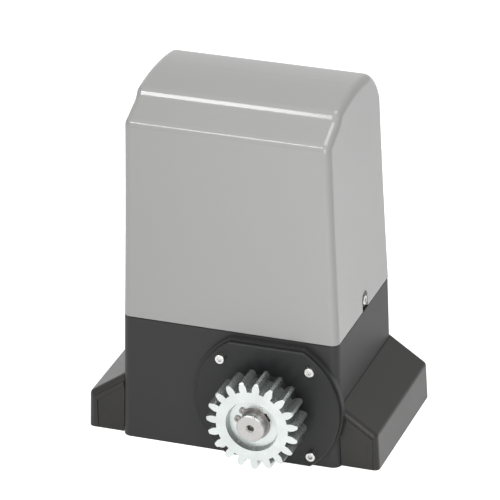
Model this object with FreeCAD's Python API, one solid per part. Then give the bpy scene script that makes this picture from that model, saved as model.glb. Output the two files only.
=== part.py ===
import FreeCAD, Part
import os
from math import acos, cos, pi, radians, sin, sqrt, tan
from FreeCAD import Vector

# Sliding gate motor. Millimetres, +Z up, +X right and +Y to the back, seen from the pinion side.
# The origin is on the ground at the centre of the four anchor slots.

# ---------------------------------------------------------------- clearances
running_gap = 0.03             # shaft in a bearing
seat_gap = 0.02                # pieces pressed or bolted together
free_gap = 0.4                 # between bodies that only pass each other

# ---------------------------------------------------------------- worm and wheel, which set the inner sizes
worm_module = 3.0
wheel_teeth = 28
worm_pitch_radius = 10.5
wheel_width = 22.0
wheel_plane_y = -12.0
worm_turns = 5.5
mesh_backlash = 0.25
wheel_pitch_radius = worm_module * wheel_teeth / 2
wheel_tip_radius = wheel_pitch_radius + worm_module
wheel_rim_depth = 9.0          # from the pitch circle in to the web
wheel_hub_radius = 21.0
wheel_web_sink = 5.0           # how far the web lies below each side
case_pocket_radius = wheel_tip_radius + 1.5

# bearings and seal: outer radius, bore radius, width
output_bearing = (26.0, 12.5, 15.0)
lower_worm_bearing = (17.5, 7.5, 11.0)
upper_worm_bearing = (20.0, 8.5, 12.0)
top_rotor_bearing = (17.5, 7.5, 11.0)
shield_sink = 0.8
seal_radius = 20.0
seal_width = 7.0

# ---------------------------------------------------------------- base casting: a drafted tub
base_half_width = 101.6        # at the ground
base_front = -76.0             # at the ground
base_back = 76.0               # at the ground
base_side_draft = 2.15         # taken off each side at the rim
base_front_draft = 5.7
base_back_draft = 0.5
base_corner = 8.0
base_wall = 4.5
base_floor = 6.0
lip_height = 5.0               # the lip that centres the top cover
lip_wall = 2.2
lip_gap = 0.6                  # between the lip and the cover's inner side
lip_root = 3.0                 # how far the lip reaches down the wall

# output shaft, set by the wheel pocket over the floor and by the right side of the base
pocket_floor = 1.5
shaft_from_side = 64.6
out_x = base_half_width - shaft_from_side
out_z = base_floor + pocket_floor + case_pocket_radius

# gearcase, bolted down in the tub
case_roof = 5.5
case_top = out_z + case_pocket_radius + case_roof
worm_x = out_x - wheel_pitch_radius - worm_pitch_radius
worm_y = wheel_plane_y
case_left = worm_x - upper_worm_bearing[0] - 5.0
case_right = out_x + case_pocket_radius + 7.5
case_front = worm_y - upper_worm_bearing[0] - 2.0
case_back = worm_y + upper_worm_bearing[0] + 2.0
case_corner = 5.0
pocket_half_width = wheel_width / 2 + 3.5
tunnel_wall = 8.0              # round the front bearing and the shaft
front_hub_length = output_bearing[2] + 1.0
rear_plate_thickness = 6.0
rear_plate_corner = 8.0
rear_hub_height = 6.0
rear_screw_inset = 6.5
case_rib = 4.0                 # thickness of the ribs on the gearcase
case_rib_rise = 3.0
oil_plug_radius = 5.0
oil_plug_head = 8.0
oil_plug_left = 37.0           # from the shaft
oil_plug_rise = 15.0

# the rim stands this far over the gearcase
rim_rise = 10.0
base_height = case_top + rim_rise
base_rim_half_width = base_half_width - base_side_draft

# ---------------------------------------------------------------- fixing feet with slotted holes
foot_projection = 29.4
foot_reach = base_half_width + foot_projection
foot_thickness = 11.0
foot_length = 128.0
foot_corner = 6.0
foot_upright = 3.0             # thickness of the foot's flange on the side of the base
foot_upright_length = 112.0
foot_upright_height = 40.0
anchor_x = base_half_width + 15.9
anchor_y = 48.0
slot_width = 11.0
slot_length = 18.0
foot_rib_y = 32.0
foot_rib_thickness = 4.0
foot_rib_reach = 21.0
foot_rib_rise = 18.0
foot_screw_y = 14.0
foot_screw_z = 29.0
foot_screw_radius = 3.0
levelling_y = 20.0
levelling_radius = 4.0
levelling_length = 15.5

# clip-on covers over the feet
foot_cover_margin = 4.7        # beyond the end of the foot
foot_cover_reach = foot_reach + foot_cover_margin
foot_cover_outer_height = 34.5
foot_cover_inner_height = 57.0
foot_cover_front = base_front + 6.0
foot_cover_back = base_back - 0.1
foot_cover_wall = 2.6
foot_cover_round = 5.0
foot_cover_draft = 1.5
foot_cover_lift = 0.5          # over the ground

# ---------------------------------------------------------------- top cover
split_gap = 0.8                # between the base rim and the cover
cover_bottom = base_height + split_gap
cover_top = 327.0
cover_wall = 3.0
cover_half_width = base_rim_half_width
cover_waist = cover_half_width - 4.15
cover_waist_height = cover_top - 98.0
cover_top_half_width = cover_half_width - 6.75
cover_edge = 7.0               # rounding where the sides meet the front, top and back
cover_front = base_front + base_front_draft + 0.3
cover_shoulder_y = cover_front + 2.6
cover_shoulder_z = cover_top - 24.0
cover_shoulder_round = 8.0
cover_step_y = cover_front + 29.5      # foot of the step across the top
cover_step_z = cover_top - 12.0
cover_step_height = 7.1
cover_step_run = 4.9           # the step leans back by this much
cover_step_top_y = cover_step_y + cover_step_run
cover_step_top_z = cover_step_z + cover_step_height
cover_dome_y = cover_front + 73.0      # highest point of the dome
cover_back = base_back
cover_rear_y = cover_back - 30.4
cover_rear_z = cover_top - 3.4
cover_step_round = 8.0         # at its foot and at its top, no less than the rounding of the side edges
cover_rear_round = 20.0
cover_back_top_z = cover_top - 35.0
cover_back_top_y = cover_back - 3.1
cover_back_round = 12.0
rear_round_radius = 52.0
channel_half_width = 47.0      # shallow channel down the back of the cover
channel_depth = 4.0
channel_bottom = base_height + 34.0
channel_front = cover_back - 24.0

# cover screws, one in a notch on each side
cover_screw_y = 6.0
cover_screw_z = base_height + 9.0
notch_width = 14.0
notch_depth = 2.2
notch_rise = 2.0               # centre of the notch's round end over the screw
screw_head_radius = 4.4
screw_head_height = 2.3
screw_shank_radius = 2.4
pad_depth = 3.2
ear_depth = 6.0                # ears on the base that take the cover screws
ear_half_width = 9.0
ear_drop = rim_rise - 0.5      # they end just over the gearcase
ear_rise = 8.0

# ---------------------------------------------------------------- output shaft and pinion
shaft_radius = 12.5
pinion_module = 4.0
pinion_teeth = 19
pinion_width = 27.0
pinion_overhang = 42.8         # from the foot of the base to the pinion's outer face
pinion_front = base_front - pinion_overhang
pinion_back = pinion_front + pinion_width
pinion_phase = -30.93          # first tooth, degrees clockwise from +Z seen from the front
pinion_bevel = 1.0
counterbore_radius = 23.0
counterbore_depth = 6.0
counterbore_taper = 1.6
shaft_proud = 4.5              # the shaft end stands out of the pinion face
shaft_front = pinion_front - shaft_proud
shaft_back = case_back + rear_plate_thickness + 3.0
centre_hole_radius = 2.6
centre_hole_depth = 8.0
collar_radius = 15.5
collar_length = 3.8
circlip_thickness = 1.2
circlip_width = 2.3
circlip_groove = 0.75
circlip_angle = -62.0          # middle of its open side, clockwise from +Z seen from the front
circlip_lug_angle = 19.0
circlip_lug_radius = 3.0
circlip_eye_radius = 1.2
circlip_mouth = 4.0
key_width = 8.0
key_rise = 3.3
key_angle = 58.0               # degrees clockwise from +Z seen from the front

# flange plate round the shaft
flange_radius = 66.5
flange_flat = 57.0             # height of its flat top above the shaft
flange_thickness = 4.2
flange_bevel = 1.0
flange_face = base_front - flange_thickness
flange_screw_x = 41.0
flange_screw_z = 41.5
socket_head_radius = 4.25
socket_head_height = 5.0
socket_screw_radius = 2.5
hub_radius = 31.0
hub_taper = 2.0
hub_height = 6.8
boss_step = 2.0                # the casting's boss is this much larger than the plate
boss_depth = 9.0

# ---------------------------------------------------------------- motor, standing on the gearcase over the worm
motor_radius = 50.0
motor_flange_height = 12.0
motor_body_height = 88.0
motor_wall = 5.0
fin_depth = 3.0
fin_thickness = 1.8
fin_count = 36
motor_cap_height = 14.0
motor_cap_rise = 5.0
motor_base_z = case_top + motor_flange_height
motor_top_z = motor_base_z + motor_body_height
stator_radius = motor_radius - fin_depth - motor_wall
rotor_radius = 25.6
rotor_seat_radius = 10.0
air_gap = 0.4
core_bottom = motor_base_z + 14.0
core_height = 58.0
winding_height = 9.0
winding_bevel = 2.5
stator_slots = 12
motor_bolt_circle = 45.2
motor_bolt_boss = 4.5

# ---------------------------------------------------------------- deck over the tub, and what stands on it
deck_thickness = 2.0
deck_z = base_height - 4.0
deck_top = deck_z + deck_thickness
deck_edge = base_wall + 2.0
deck_screw_radius = 2.0
post_radius = 6.0
post_x = base_half_width - 16.6
post_y = base_back - 17.0
board_back = 40.0
bracket_wall = 2.5
bracket_corner = 8.0
board_spacer = 3.5
board_thickness = 1.6
board_half_width = 75.0
bracket_half_width = board_half_width + 4.0
board_bottom = deck_top + 10.0
board_top = board_bottom + 118.0
bracket_top = board_top + 4.0
bracket_foot_half = 38.0
bracket_foot_depth = 18.0
bracket_rib_x = 60.0
bracket_rib_depth = 12.0
board_hole_inset = 6.0
board_hole_rise = 21.0         # the lower two clear the terminals
board_front = board_back + bracket_wall + board_spacer + board_thickness
relay_z = board_top - 46.0
terminal_pole = 5.0
terminal_depth = 12.0
capacitor_radius = 19.0
capacitor_height = 76.0
capacitor_x = base_half_width - 37.6
capacitor_y = 8.0
transformer_x = base_half_width - 35.6
transformer_y = -38.0

# cable entry in the floor, the slot over it in the deck, and the earth screw
grommet_x = 31.6 - base_half_width
grommet_y = 38.0
grommet_neck = 15.0
grommet_bore = 10.0
grommet_rim = 3.0
cable_slot_left = grommet_x - 6.0
cable_slot_right = grommet_x + 26.0
cable_slot_front = board_back + 4.0
cable_slot_back = board_back + 20.0
earth_x = grommet_x
earth_y = -30.0

# travel sensor behind the front wall
sensor_x0 = -62.0
sensor_x1 = -22.0
sensor_z0 = 86.0
sensor_z1 = 100.0
sensor_depth = 12.0
sensor_seat_y = base_front + 12.0

# ---------------------------------------------------------------- manual release, in a tray let into the back
lever_left = -4.0
lever_right = 60.0
lever_bottom = 60.0
lever_top = 86.0
lever_middle = (lever_bottom + lever_top) / 2
lever_thickness = 8.0
lever_sink = 1.0               # below the back of the base
lever_face = base_back - lever_sink
lever_hub_radius = 4.2
lever_grip_depth = 1.2
pin_radius = 2.5
lock_radius = 5.5
lock_x = lever_left + 13.0
keyway_width = 1.4
keyway_depth = 5.0
keyway_rise = 3.2
hinge_x = lever_right - lever_hub_radius
hinge_y = lever_face - lever_hub_radius
recess_depth = 10.0
recess_floor = base_back - recess_depth
tray_wall = 4.0
tray_left = lever_left - 7.0   # a finger goes in here
tray_right = lever_right + 1.0
tray_bottom = lever_bottom - 2.0
tray_top = lever_top + 2.0


# ---------------------------------------------------------------- small helpers
def block(x0, x1, y0, y1, z0, z1):
    return Part.makeBox(x1 - x0, y1 - y0, z1 - z0, Vector(x0, y0, z0))


def rod_x(radius, x0, x1, y, z):
    return Part.makeCylinder(radius, x1 - x0, Vector(x0, y, z), Vector(1, 0, 0))


def rod_y(radius, y0, y1, x=out_x, z=out_z):
    return Part.makeCylinder(radius, y1 - y0, Vector(x, y0, z), Vector(0, 1, 0))


def rod_z(radius, z0, z1, x=worm_x, y=worm_y):
    return Part.makeCylinder(radius, z1 - z0, Vector(x, y, z0), Vector(0, 0, 1))


def mirrored(shape):
    return shape.mirror(Vector(0, 0, 0), Vector(1, 0, 0))


def one_solid(shape):
    """Merge split faces, and unwrap a shape that holds a single solid."""
    shape = shape.removeSplitter()
    return shape.Solids[0] if len(shape.Solids) == 1 else shape


def save(node, shape):
    os.makedirs("parts", exist_ok=True)
    if not shape.isValid() or not shape.Solids:
        print("check", node, "valid:", shape.isValid(), "solids:", len(shape.Solids))
    shape.exportStep("parts/" + node + ".step")


def rounded_rectangle(x0, x1, y0, y1, z, radius):
    """A closed wire at height z with its four corners rounded."""
    inset = radius * (1 - sqrt(0.5))
    turns = [(x1, y0, -1, 1), (x1, y1, -1, -1), (x0, y1, 1, -1), (x0, y0, 1, 1)]
    edges = []
    last = Vector(x0 + radius, y0, z)
    for number, (x, y, sx, sy) in enumerate(turns):
        along_x = Vector(x + sx * radius, y, z)
        along_y = Vector(x, y + sy * radius, z)
        start, end = (along_x, along_y) if number % 2 == 0 else (along_y, along_x)
        edges.append(Part.makeLine(last, start))
        edges.append(Part.Arc(start, Vector(x + sx * inset, y + sy * inset, z), end).toShape())
        last = end
    return Part.Wire(edges)


def long_edges(shape, direction, least):
    """Straight edges along a direction that are at least this long."""
    found = []
    for edge in shape.Edges:
        if edge.Length >= least and len(edge.Vertexes) == 2:
            run = edge.Vertexes[1].Point - edge.Vertexes[0].Point
            if abs(run.dot(direction)) > 0.98 * edge.Length:
                found.append(edge)
    return found


def screw(shank_radius, length, head_radius, head_height, socket=True):
    """A screw along -Z with its head above z = 0 and a hexagon socket or a cross slot in it."""
    body = Part.makeCylinder(shank_radius, length, Vector(0, 0, -length))
    bevel = 0.12 * head_radius
    head = Part.makeCylinder(head_radius, head_height - bevel)
    head = head.fuse(Part.makeCone(head_radius, head_radius - bevel, bevel, Vector(0, 0, head_height - bevel)))
    if socket:
        flat = 0.58 * head_radius
        corners = [Vector(flat * cos(k * pi / 3), flat * sin(k * pi / 3), head_height / 2) for k in range(7)]
        drive = Part.Face(Part.makePolygon(corners)).extrude(Vector(0, 0, head_height))
    else:
        slot = 0.6 * head_radius
        drive = block(-slot, slot, -slot / 4, slot / 4, head_height / 2, 2 * head_height)
        drive = drive.fuse(block(-slot / 4, slot / 4, -slot, slot, head_height / 2, 2 * head_height))
    return one_solid(body.fuse(head).cut(drive))


def placed(shape, towards, at):
    """Turn a shape from +Z to another direction and move it to its place."""
    turned = shape.copy()
    turned.Placement = FreeCAD.Placement(at, FreeCAD.Rotation(Vector(0, 0, 1), towards))
    return turned


def ball_bearing(sizes):
    """A shielded bearing as one ring along +Z, with its two shields sunk between the rings."""
    outer, bore, width = sizes
    ring = Part.makeCylinder(outer - seat_gap, width).cut(Part.makeCylinder(bore + running_gap, width))
    inner_rim = bore + 0.26 * (outer - bore)
    outer_rim = bore + 0.74 * (outer - bore)
    shield = Part.makeCylinder(outer_rim, shield_sink).cut(Part.makeCylinder(inner_rim, shield_sink))
    top = shield.copy()
    top.translate(Vector(0, 0, width - shield_sink))
    return one_solid(ring.cut(shield).cut(top))


# ---------------------------------------------------------------- gears
pressure_angle = radians(20.0)
flank_points = 5
pinion_backlash = 0.1


def involute(angle):
    return tan(angle) - angle


def gear_outline(module, teeth, first_tooth, backlash, y):
    """Outline of a spur gear in a plane of constant y, its centre at x = z = 0."""
    pitch_r = module * teeth / 2
    base_r = pitch_r * cos(pressure_angle)
    tip_r = pitch_r + module
    root_r = pitch_r - 1.25 * module
    start_r = max(base_r, root_r)
    half_tooth = pi / 2 / teeth - backlash / 2 / pitch_r + involute(pressure_angle)

    def point(radius, angle):
        return Vector(radius * cos(angle), y, radius * sin(angle))

    def flank(middle, side):
        points = []
        for step in range(flank_points):
            radius = start_r + (tip_r - start_r) * step / (flank_points - 1)
            points.append(point(radius, middle + side * (half_tooth - involute(acos(base_r / radius)))))
        curve = Part.BSplineCurve()
        curve.interpolate(points)
        return points, curve.toShape()

    edges = []
    foot_half = half_tooth - involute(acos(base_r / start_r))
    tip_half = half_tooth - involute(acos(base_r / tip_r))
    pitch_angle = 2 * pi / teeth
    for tooth in range(teeth):
        middle = first_tooth + tooth * pitch_angle
        rising, rising_curve = flank(middle, -1)
        falling, falling_curve = flank(middle, 1)
        if root_r < start_r:
            edges.append(Part.makeLine(point(root_r, middle - foot_half), rising[0]))
        edges.append(rising_curve)
        edges.append(Part.Arc(rising[-1], point(tip_r, middle), falling[-1]).toShape())
        edges.append(falling_curve)
        if root_r < start_r:
            edges.append(Part.makeLine(falling[0], point(root_r, middle + foot_half)))
        root_start = point(root_r, middle + foot_half)
        root_end = point(root_r, middle + pitch_angle - foot_half)
        edges.append(Part.Arc(root_start, point(root_r, middle + pitch_angle / 2), root_end).toShape())
    return Part.Wire(Part.sortEdges(edges)[0])


def make_pinion():
    """Spur pinion for a module-4 rack: counterbored in front, keyed to the shaft."""
    first = pi / 2 - radians(pinion_phase)
    outline = gear_outline(pinion_module, pinion_teeth, first, pinion_backlash, 0)
    gear = Part.Face(outline).extrude(Vector(0, pinion_width, 0))
    gear.translate(Vector(out_x, pinion_front, out_z))
    narrow = pinion_module * (pinion_teeth / 2 + 1) - pinion_bevel
    axis = Vector(0, 1, 0)
    centre = Vector(out_x, pinion_front, out_z)
    gear = gear.common(Part.makeCone(narrow, narrow + pinion_width, pinion_width, centre, axis))
    gear = gear.common(Part.makeCone(narrow + pinion_width, narrow, pinion_width, centre, axis))
    gear = gear.cut(rod_y(shaft_radius + seat_gap, pinion_front - 1, pinion_back + 1))
    recess = Part.makeCone(counterbore_radius + counterbore_taper / 2, counterbore_radius - counterbore_taper / 2,
                           counterbore_depth, centre, axis)
    gear = gear.cut(recess)
    return one_solid(gear.cut(pinion_key_bar(seat_gap, pinion_front - 1, pinion_back + 1)))


def pinion_key_bar(gap, y0, y1):
    """The key's bar, from below the shaft's surface to above it, grown by a gap."""
    bar = block(-key_width / 2 - gap, key_width / 2 + gap, y0, y1,
                shaft_radius - key_rise - gap, shaft_radius + key_rise + gap)
    bar.rotate(Vector(0, 0, 0), Vector(0, 1, 0), key_angle)
    bar.translate(Vector(out_x, 0, out_z))
    return bar


def make_pinion_key():
    floor = pinion_front + counterbore_depth
    return pinion_key_bar(0, floor + 2.5, pinion_back - 1.5)


def make_circlip():
    """Retaining ring on the floor of the counterbore, open between two lugs with eyes."""
    y0 = pinion_front + counterbore_depth - circlip_thickness - seat_gap
    y1 = y0 + circlip_thickness
    reach = shaft_radius + circlip_width
    lugs = []
    for side in (-1, 1):
        angle = radians(circlip_angle + circlip_lug_angle * side)
        lugs.append((out_x + reach * sin(angle), out_z + reach * cos(angle)))
    ring = rod_y(reach, y0, y1)
    for x, z in lugs:
        ring = ring.fuse(rod_y(circlip_lug_radius, y0, y1, x, z))
    ring = ring.cut(rod_y(shaft_radius - circlip_groove + seat_gap, y0, y1))
    for x, z in lugs:
        ring = ring.cut(rod_y(circlip_eye_radius, y0, y1, x, z))
    mouth = block(-circlip_mouth / 2, circlip_mouth / 2, y0 - 1, y1 + 1, 0, 2 * reach)
    mouth.rotate(Vector(0, 0, 0), Vector(0, 1, 0), circlip_angle)
    mouth.translate(Vector(out_x, 0, out_z))
    return one_solid(ring.cut(mouth))


def make_output_shaft():
    shaft = rod_y(shaft_radius, shaft_front, shaft_back)
    bevel = 0.8
    ends = [edge for edge in shaft.Edges if edge.BoundBox.YLength < 0.01]
    shaft = shaft.makeChamfer(bevel, ends)
    shaft = shaft.fuse(rod_y(collar_radius, pinion_back + seat_gap, pinion_back + collar_length))
    groove_y = pinion_front + counterbore_depth - circlip_thickness - 2 * seat_gap
    groove = rod_y(shaft_radius + 1, groove_y, groove_y + circlip_thickness + 2 * seat_gap)
    shaft = shaft.cut(groove.cut(rod_y(shaft_radius - circlip_groove, groove_y, groove_y + 2 * circlip_thickness)))
    shaft = shaft.cut(rod_y(centre_hole_radius, shaft_front, shaft_front + centre_hole_depth))
    shaft = shaft.cut(Part.makeCone(centre_hole_radius + 1.2, centre_hole_radius, 1.6,
                                    Vector(out_x, shaft_front, out_z), Vector(0, 1, 0)))
    floor = pinion_front + counterbore_depth
    shaft = shaft.cut(pinion_key_bar(seat_gap, floor + 2.4, pinion_back - 1.4))
    return one_solid(shaft.cut(wheel_key_bar(seat_gap)))


def wheel_key_bar(gap):
    length = wheel_width - 2.0
    return block(out_x - key_width / 2 - gap, out_x + key_width / 2 + gap,
                 wheel_plane_y - length / 2 - gap, wheel_plane_y + length / 2 + gap,
                 out_z + shaft_radius - key_rise - gap, out_z + shaft_radius + key_rise + gap)


def make_worm_wheel():
    """Bronze wheel with helical teeth that follow the worm's lead."""
    lead_slope = worm_module / 2 / worm_pitch_radius
    turn = lead_slope * wheel_width / wheel_pitch_radius
    middle = pi / wheel_teeth
    sections = []
    for share in (-0.5, 0.5):
        sections.append(gear_outline(worm_module, wheel_teeth, middle - share * turn, mesh_backlash,
                                     share * wheel_width))
    wheel = Part.makeLoft(sections, True, True)
    wheel.translate(Vector(out_x, wheel_plane_y, out_z))
    y0, y1 = wheel_plane_y - wheel_width / 2, wheel_plane_y + wheel_width / 2
    for a, b in ((y0, y0 + wheel_web_sink), (y1 - wheel_web_sink, y1)):
        wheel = wheel.cut(rod_y(wheel_pitch_radius - wheel_rim_depth, a, b).cut(rod_y(wheel_hub_radius, a, b)))
    wheel = wheel.cut(rod_y(shaft_radius + seat_gap, y0 - 1, y1 + 1))
    slot = wheel_key_bar(seat_gap)
    slot = slot.fuse(block(out_x - key_width / 2 - seat_gap, out_x + key_width / 2 + seat_gap, y0 - 1, y1 + 1,
                           out_z, out_z + shaft_radius + key_rise + seat_gap))
    return one_solid(wheel.cut(slot))


def make_worm_shaft():
    """Rotor shaft with the worm cut near its lower end."""
    pitch = pi * worm_module
    tip_r = worm_pitch_radius + worm_module
    core_r = worm_pitch_radius - 1.25 * worm_module
    turns = int(worm_turns + 0.5)
    start = out_z - turns // 2 * pitch
    half = pitch / 4 - mesh_backlash / 2
    slope = tan(pressure_angle)
    sink = 0.4
    foot = half + (worm_pitch_radius - core_r + sink) * slope
    crest = half - worm_module * slope
    thread = Part.makePolygon([Vector(core_r - sink, 0, -foot), Vector(tip_r, 0, -crest), Vector(tip_r, 0, crest),
                               Vector(core_r - sink, 0, foot), Vector(core_r - sink, 0, -foot)])
    spine = Part.Wire(Part.makeLongHelix(pitch, turns * pitch, worm_pitch_radius).Edges)
    worm = spine.makePipeShell([Part.Wire(thread.Edges)], True, True)
    worm = Part.Solid(worm) if worm.ShapeType == "Shell" else worm
    worm.translate(Vector(worm_x, worm_y, start))
    lower_z = base_floor + 3.0
    shaft = rod_z(lower_worm_bearing[1], lower_z, lower_z + 14.0)
    shaft = shaft.fuse(rod_z(core_r, lower_z + 13.0, case_top - 18.0))
    shaft = shaft.fuse(rod_z(upper_worm_bearing[1], case_top - 20.0, motor_base_z + 4.0))
    shaft = shaft.fuse(rod_z(rotor_seat_radius, motor_base_z + 3.0, core_bottom + core_height + 8.0))
    shaft = shaft.fuse(rod_z(top_rotor_bearing[1], core_bottom + core_height, motor_top_z + 10.0))
    return one_solid(shaft.fuse(worm))


# ---------------------------------------------------------------- base casting
def base_section(z, offset=0.0):
    """Outline of the drafted base at a height, grown outwards by an offset."""
    share = z / base_height
    half = base_half_width - base_side_draft * share + offset
    front = base_front + base_front_draft * share - offset
    back = base_back - base_back_draft * share + offset
    return rounded_rectangle(-half, half, front, back, z, max(base_corner + offset, 1.0))


def base_form(z0, z1, offset=0.0):
    return Part.makeLoft([base_section(z0, offset), base_section(z1, offset)], True, True)


def anchor_slot(x, y, z0, z1):
    half = slot_length / 2 - slot_width / 2
    slot = block(x - half, x + half, y - slot_width / 2, y + slot_width / 2, z0, z1)
    return slot.fuse(rod_z(slot_width / 2, z0, z1, x - half, y)).fuse(rod_z(slot_width / 2, z0, z1, x + half, y))


def corners(x, y):
    return [(sx * x, sy * y) for sx in (-1, 1) for sy in (-1, 1)]


def flange_outline(radius, flat, y0, y1):
    """Round plate about the shaft with a flat top, cut off at the ground."""
    plate = rod_y(radius, y0, y1)
    return plate.common(block(out_x - radius, out_x + radius, y0, y1, 0, out_z + flat))


def boss_block(grow, depth):
    """Boss on the front wall that the flange plate is screwed to."""
    radius, flat = flange_radius + boss_step + grow, flange_flat + boss_step + grow
    return flange_outline(radius, flat, base_front, base_front + depth)


def make_base_floor():
    """Floor plate inside the walls, with the cable hole and the thread of the earth screw."""
    floor = base_form(0, base_floor, -base_wall - seat_gap)
    floor = floor.cut(boss_block(seat_gap, boss_depth + seat_gap))
    floor = floor.cut(rod_z(grommet_neck, -1, base_floor + 1, grommet_x, grommet_y))
    floor = floor.cut(rod_z(deck_screw_radius + seat_gap, base_floor - 4, base_floor + 1, earth_x, earth_y))
    return one_solid(floor)


def make_deck_posts():
    """Four round posts on the floor, drilled at the top for the deck screws."""
    posts = []
    for x, y in corners(post_x, post_y):
        post = rod_z(post_radius, base_floor + seat_gap, deck_z, x, y)
        posts.append(post.cut(rod_z(deck_screw_radius + seat_gap, deck_z - 12, deck_z + 1, x, y)))
    return Part.makeCompound(posts)


def make_base():
    """Ring of drafted walls with a lip, a window for the release tray and a boss for the flange plate."""
    tub = base_form(0, base_height)
    tub = tub.cut(base_form(-1, base_height + 1, -base_wall))

    # the lip stands inside the rim and stops short of the two cover screws
    lip_out = -cover_wall - lip_gap
    lip = base_form(base_height - lip_root, base_height + lip_height, lip_out)
    lip = lip.cut(base_form(base_height - lip_root - 1, base_height + lip_height + 1, lip_out - lip_wall))
    gap = notch_width / 2 + 5.0
    lip = lip.cut(block(-base_half_width, base_half_width, cover_screw_y - gap, cover_screw_y + gap,
                        base_height, base_height + lip_height + 1))
    tub = tub.fuse(lip)

    # boss for the flange plate, clear of the foot cover, and the hub of the front bearing behind it
    boss = boss_block(0, boss_depth)
    boss = boss.cut(block(base_rim_half_width - 1, 2 * base_half_width, foot_cover_front - free_gap, 0,
                          -1, base_height))
    tub = tub.fuse(boss)
    tub = tub.fuse(rod_y(output_bearing[0] + tunnel_wall, base_front + base_wall, base_front + front_hub_length))

    # seat of the travel sensor
    tub = tub.fuse(block(sensor_x0 - 2, sensor_x1 + 2, base_front + base_wall + base_front_draft / 2, sensor_seat_y,
                         sensor_z0 - 2, sensor_z1 + 2))

    # ears that take the cover screws
    ear_out = base_rim_half_width - cover_wall - free_gap - pad_depth
    ear_y0, ear_y1 = cover_screw_y - ear_half_width, cover_screw_y + ear_half_width
    ear = block(ear_out - ear_depth, ear_out, ear_y0, ear_y1, base_height - ear_drop, cover_screw_z + ear_rise)
    ear = ear.fuse(block(ear_out - ear_depth, base_rim_half_width - base_wall / 2, ear_y0, ear_y1,
                         base_height - ear_drop, base_height - 1))
    ear = ear.cut(rod_x(screw_shank_radius + seat_gap, 0, base_half_width, cover_screw_y, cover_screw_z))
    tub = tub.fuse(ear).fuse(mirrored(ear))

    # window for the release tray
    tub = tub.cut(tray_block(tray_wall + seat_gap, recess_floor - 2 * tray_wall, base_back + 1))

    # bearing seat, shaft passage and every screw
    bores = [
        rod_y(output_bearing[0], base_front - 1, base_front + output_bearing[2]),
        rod_y(shaft_radius + 1.5, base_front, base_front + front_hub_length + 1),
    ]
    thread = socket_screw_radius + seat_gap
    bores += [rod_y(thread, base_front - 1, base_front + 12, x, z) for x, z in flange_screw_places()]
    for side in (-1, 1):
        for y in (-foot_screw_y, foot_screw_y):
            x0, x1 = sorted((side * (base_half_width - base_wall - 4), side * (base_half_width + 4)))
            bores.append(rod_x(foot_screw_radius + seat_gap, x0, x1, y, foot_screw_z))
    for bore in bores:
        tub = tub.cut(bore)
    return one_solid(tub)


def make_feet():
    """Two angle castings on the sides of the base, with anchor slots, ribs and levelling holes."""
    inside = base_half_width - base_wall
    flange_x = base_half_width + foot_upright
    foot = block(inside, foot_reach, -foot_length / 2, foot_length / 2, 0, foot_thickness)
    foot = foot.makeFillet(foot_corner, [edge for edge in long_edges(foot, Vector(0, 0, 1), foot_thickness - 1)
                                         if edge.BoundBox.XMin > foot_reach - 1])
    upright = block(inside, flange_x, -foot_upright_length / 2, foot_upright_length / 2, 0, foot_upright_height)
    upright = upright.makeFillet(foot_corner, [edge for edge in long_edges(upright, Vector(1, 0, 0), foot_upright)
                                               if edge.BoundBox.ZMin > foot_upright_height - 1])
    foot = foot.fuse(upright)
    for y in (-foot_rib_y, foot_rib_y):
        low, high = foot_thickness - 1, foot_thickness + foot_rib_rise
        rib = Part.Face(Part.makePolygon([
            Vector(flange_x - 1, 0, low), Vector(flange_x + foot_rib_reach, 0, low),
            Vector(flange_x - 1, 0, high), Vector(flange_x - 1, 0, low)]))
        rib.translate(Vector(0, y - foot_rib_thickness / 2, 0))
        foot = foot.fuse(rib.extrude(Vector(0, foot_rib_thickness, 0)))
    foot = foot.cut(base_form(-1, base_height, seat_gap))
    for y in (-anchor_y, anchor_y):
        foot = foot.cut(anchor_slot(anchor_x, y, -1, foot_thickness + 1))
    for y in (-levelling_y, levelling_y):
        foot = foot.cut(rod_z(levelling_radius + seat_gap, -1, foot_thickness + 1, anchor_x, y))
    for y in (-foot_screw_y, foot_screw_y):
        foot = foot.cut(rod_x(foot_screw_radius + 0.3, inside, flange_x + 1, y, foot_screw_z))
    foot = one_solid(foot)
    return Part.makeCompound([foot, mirrored(foot)])


def make_foot_screws():
    """Socket screws that hold the feet to the sides of the base."""
    seat = base_half_width + foot_upright + seat_gap
    length = foot_upright + base_wall + base_side_draft
    right = [placed(screw(foot_screw_radius, length, 1.7 * foot_screw_radius, foot_screw_radius), Vector(1, 0, 0),
                    Vector(seat, y, foot_screw_z)) for y in (-foot_screw_y, foot_screw_y)]
    return Part.makeCompound(right + [mirrored(item) for item in right])


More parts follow.
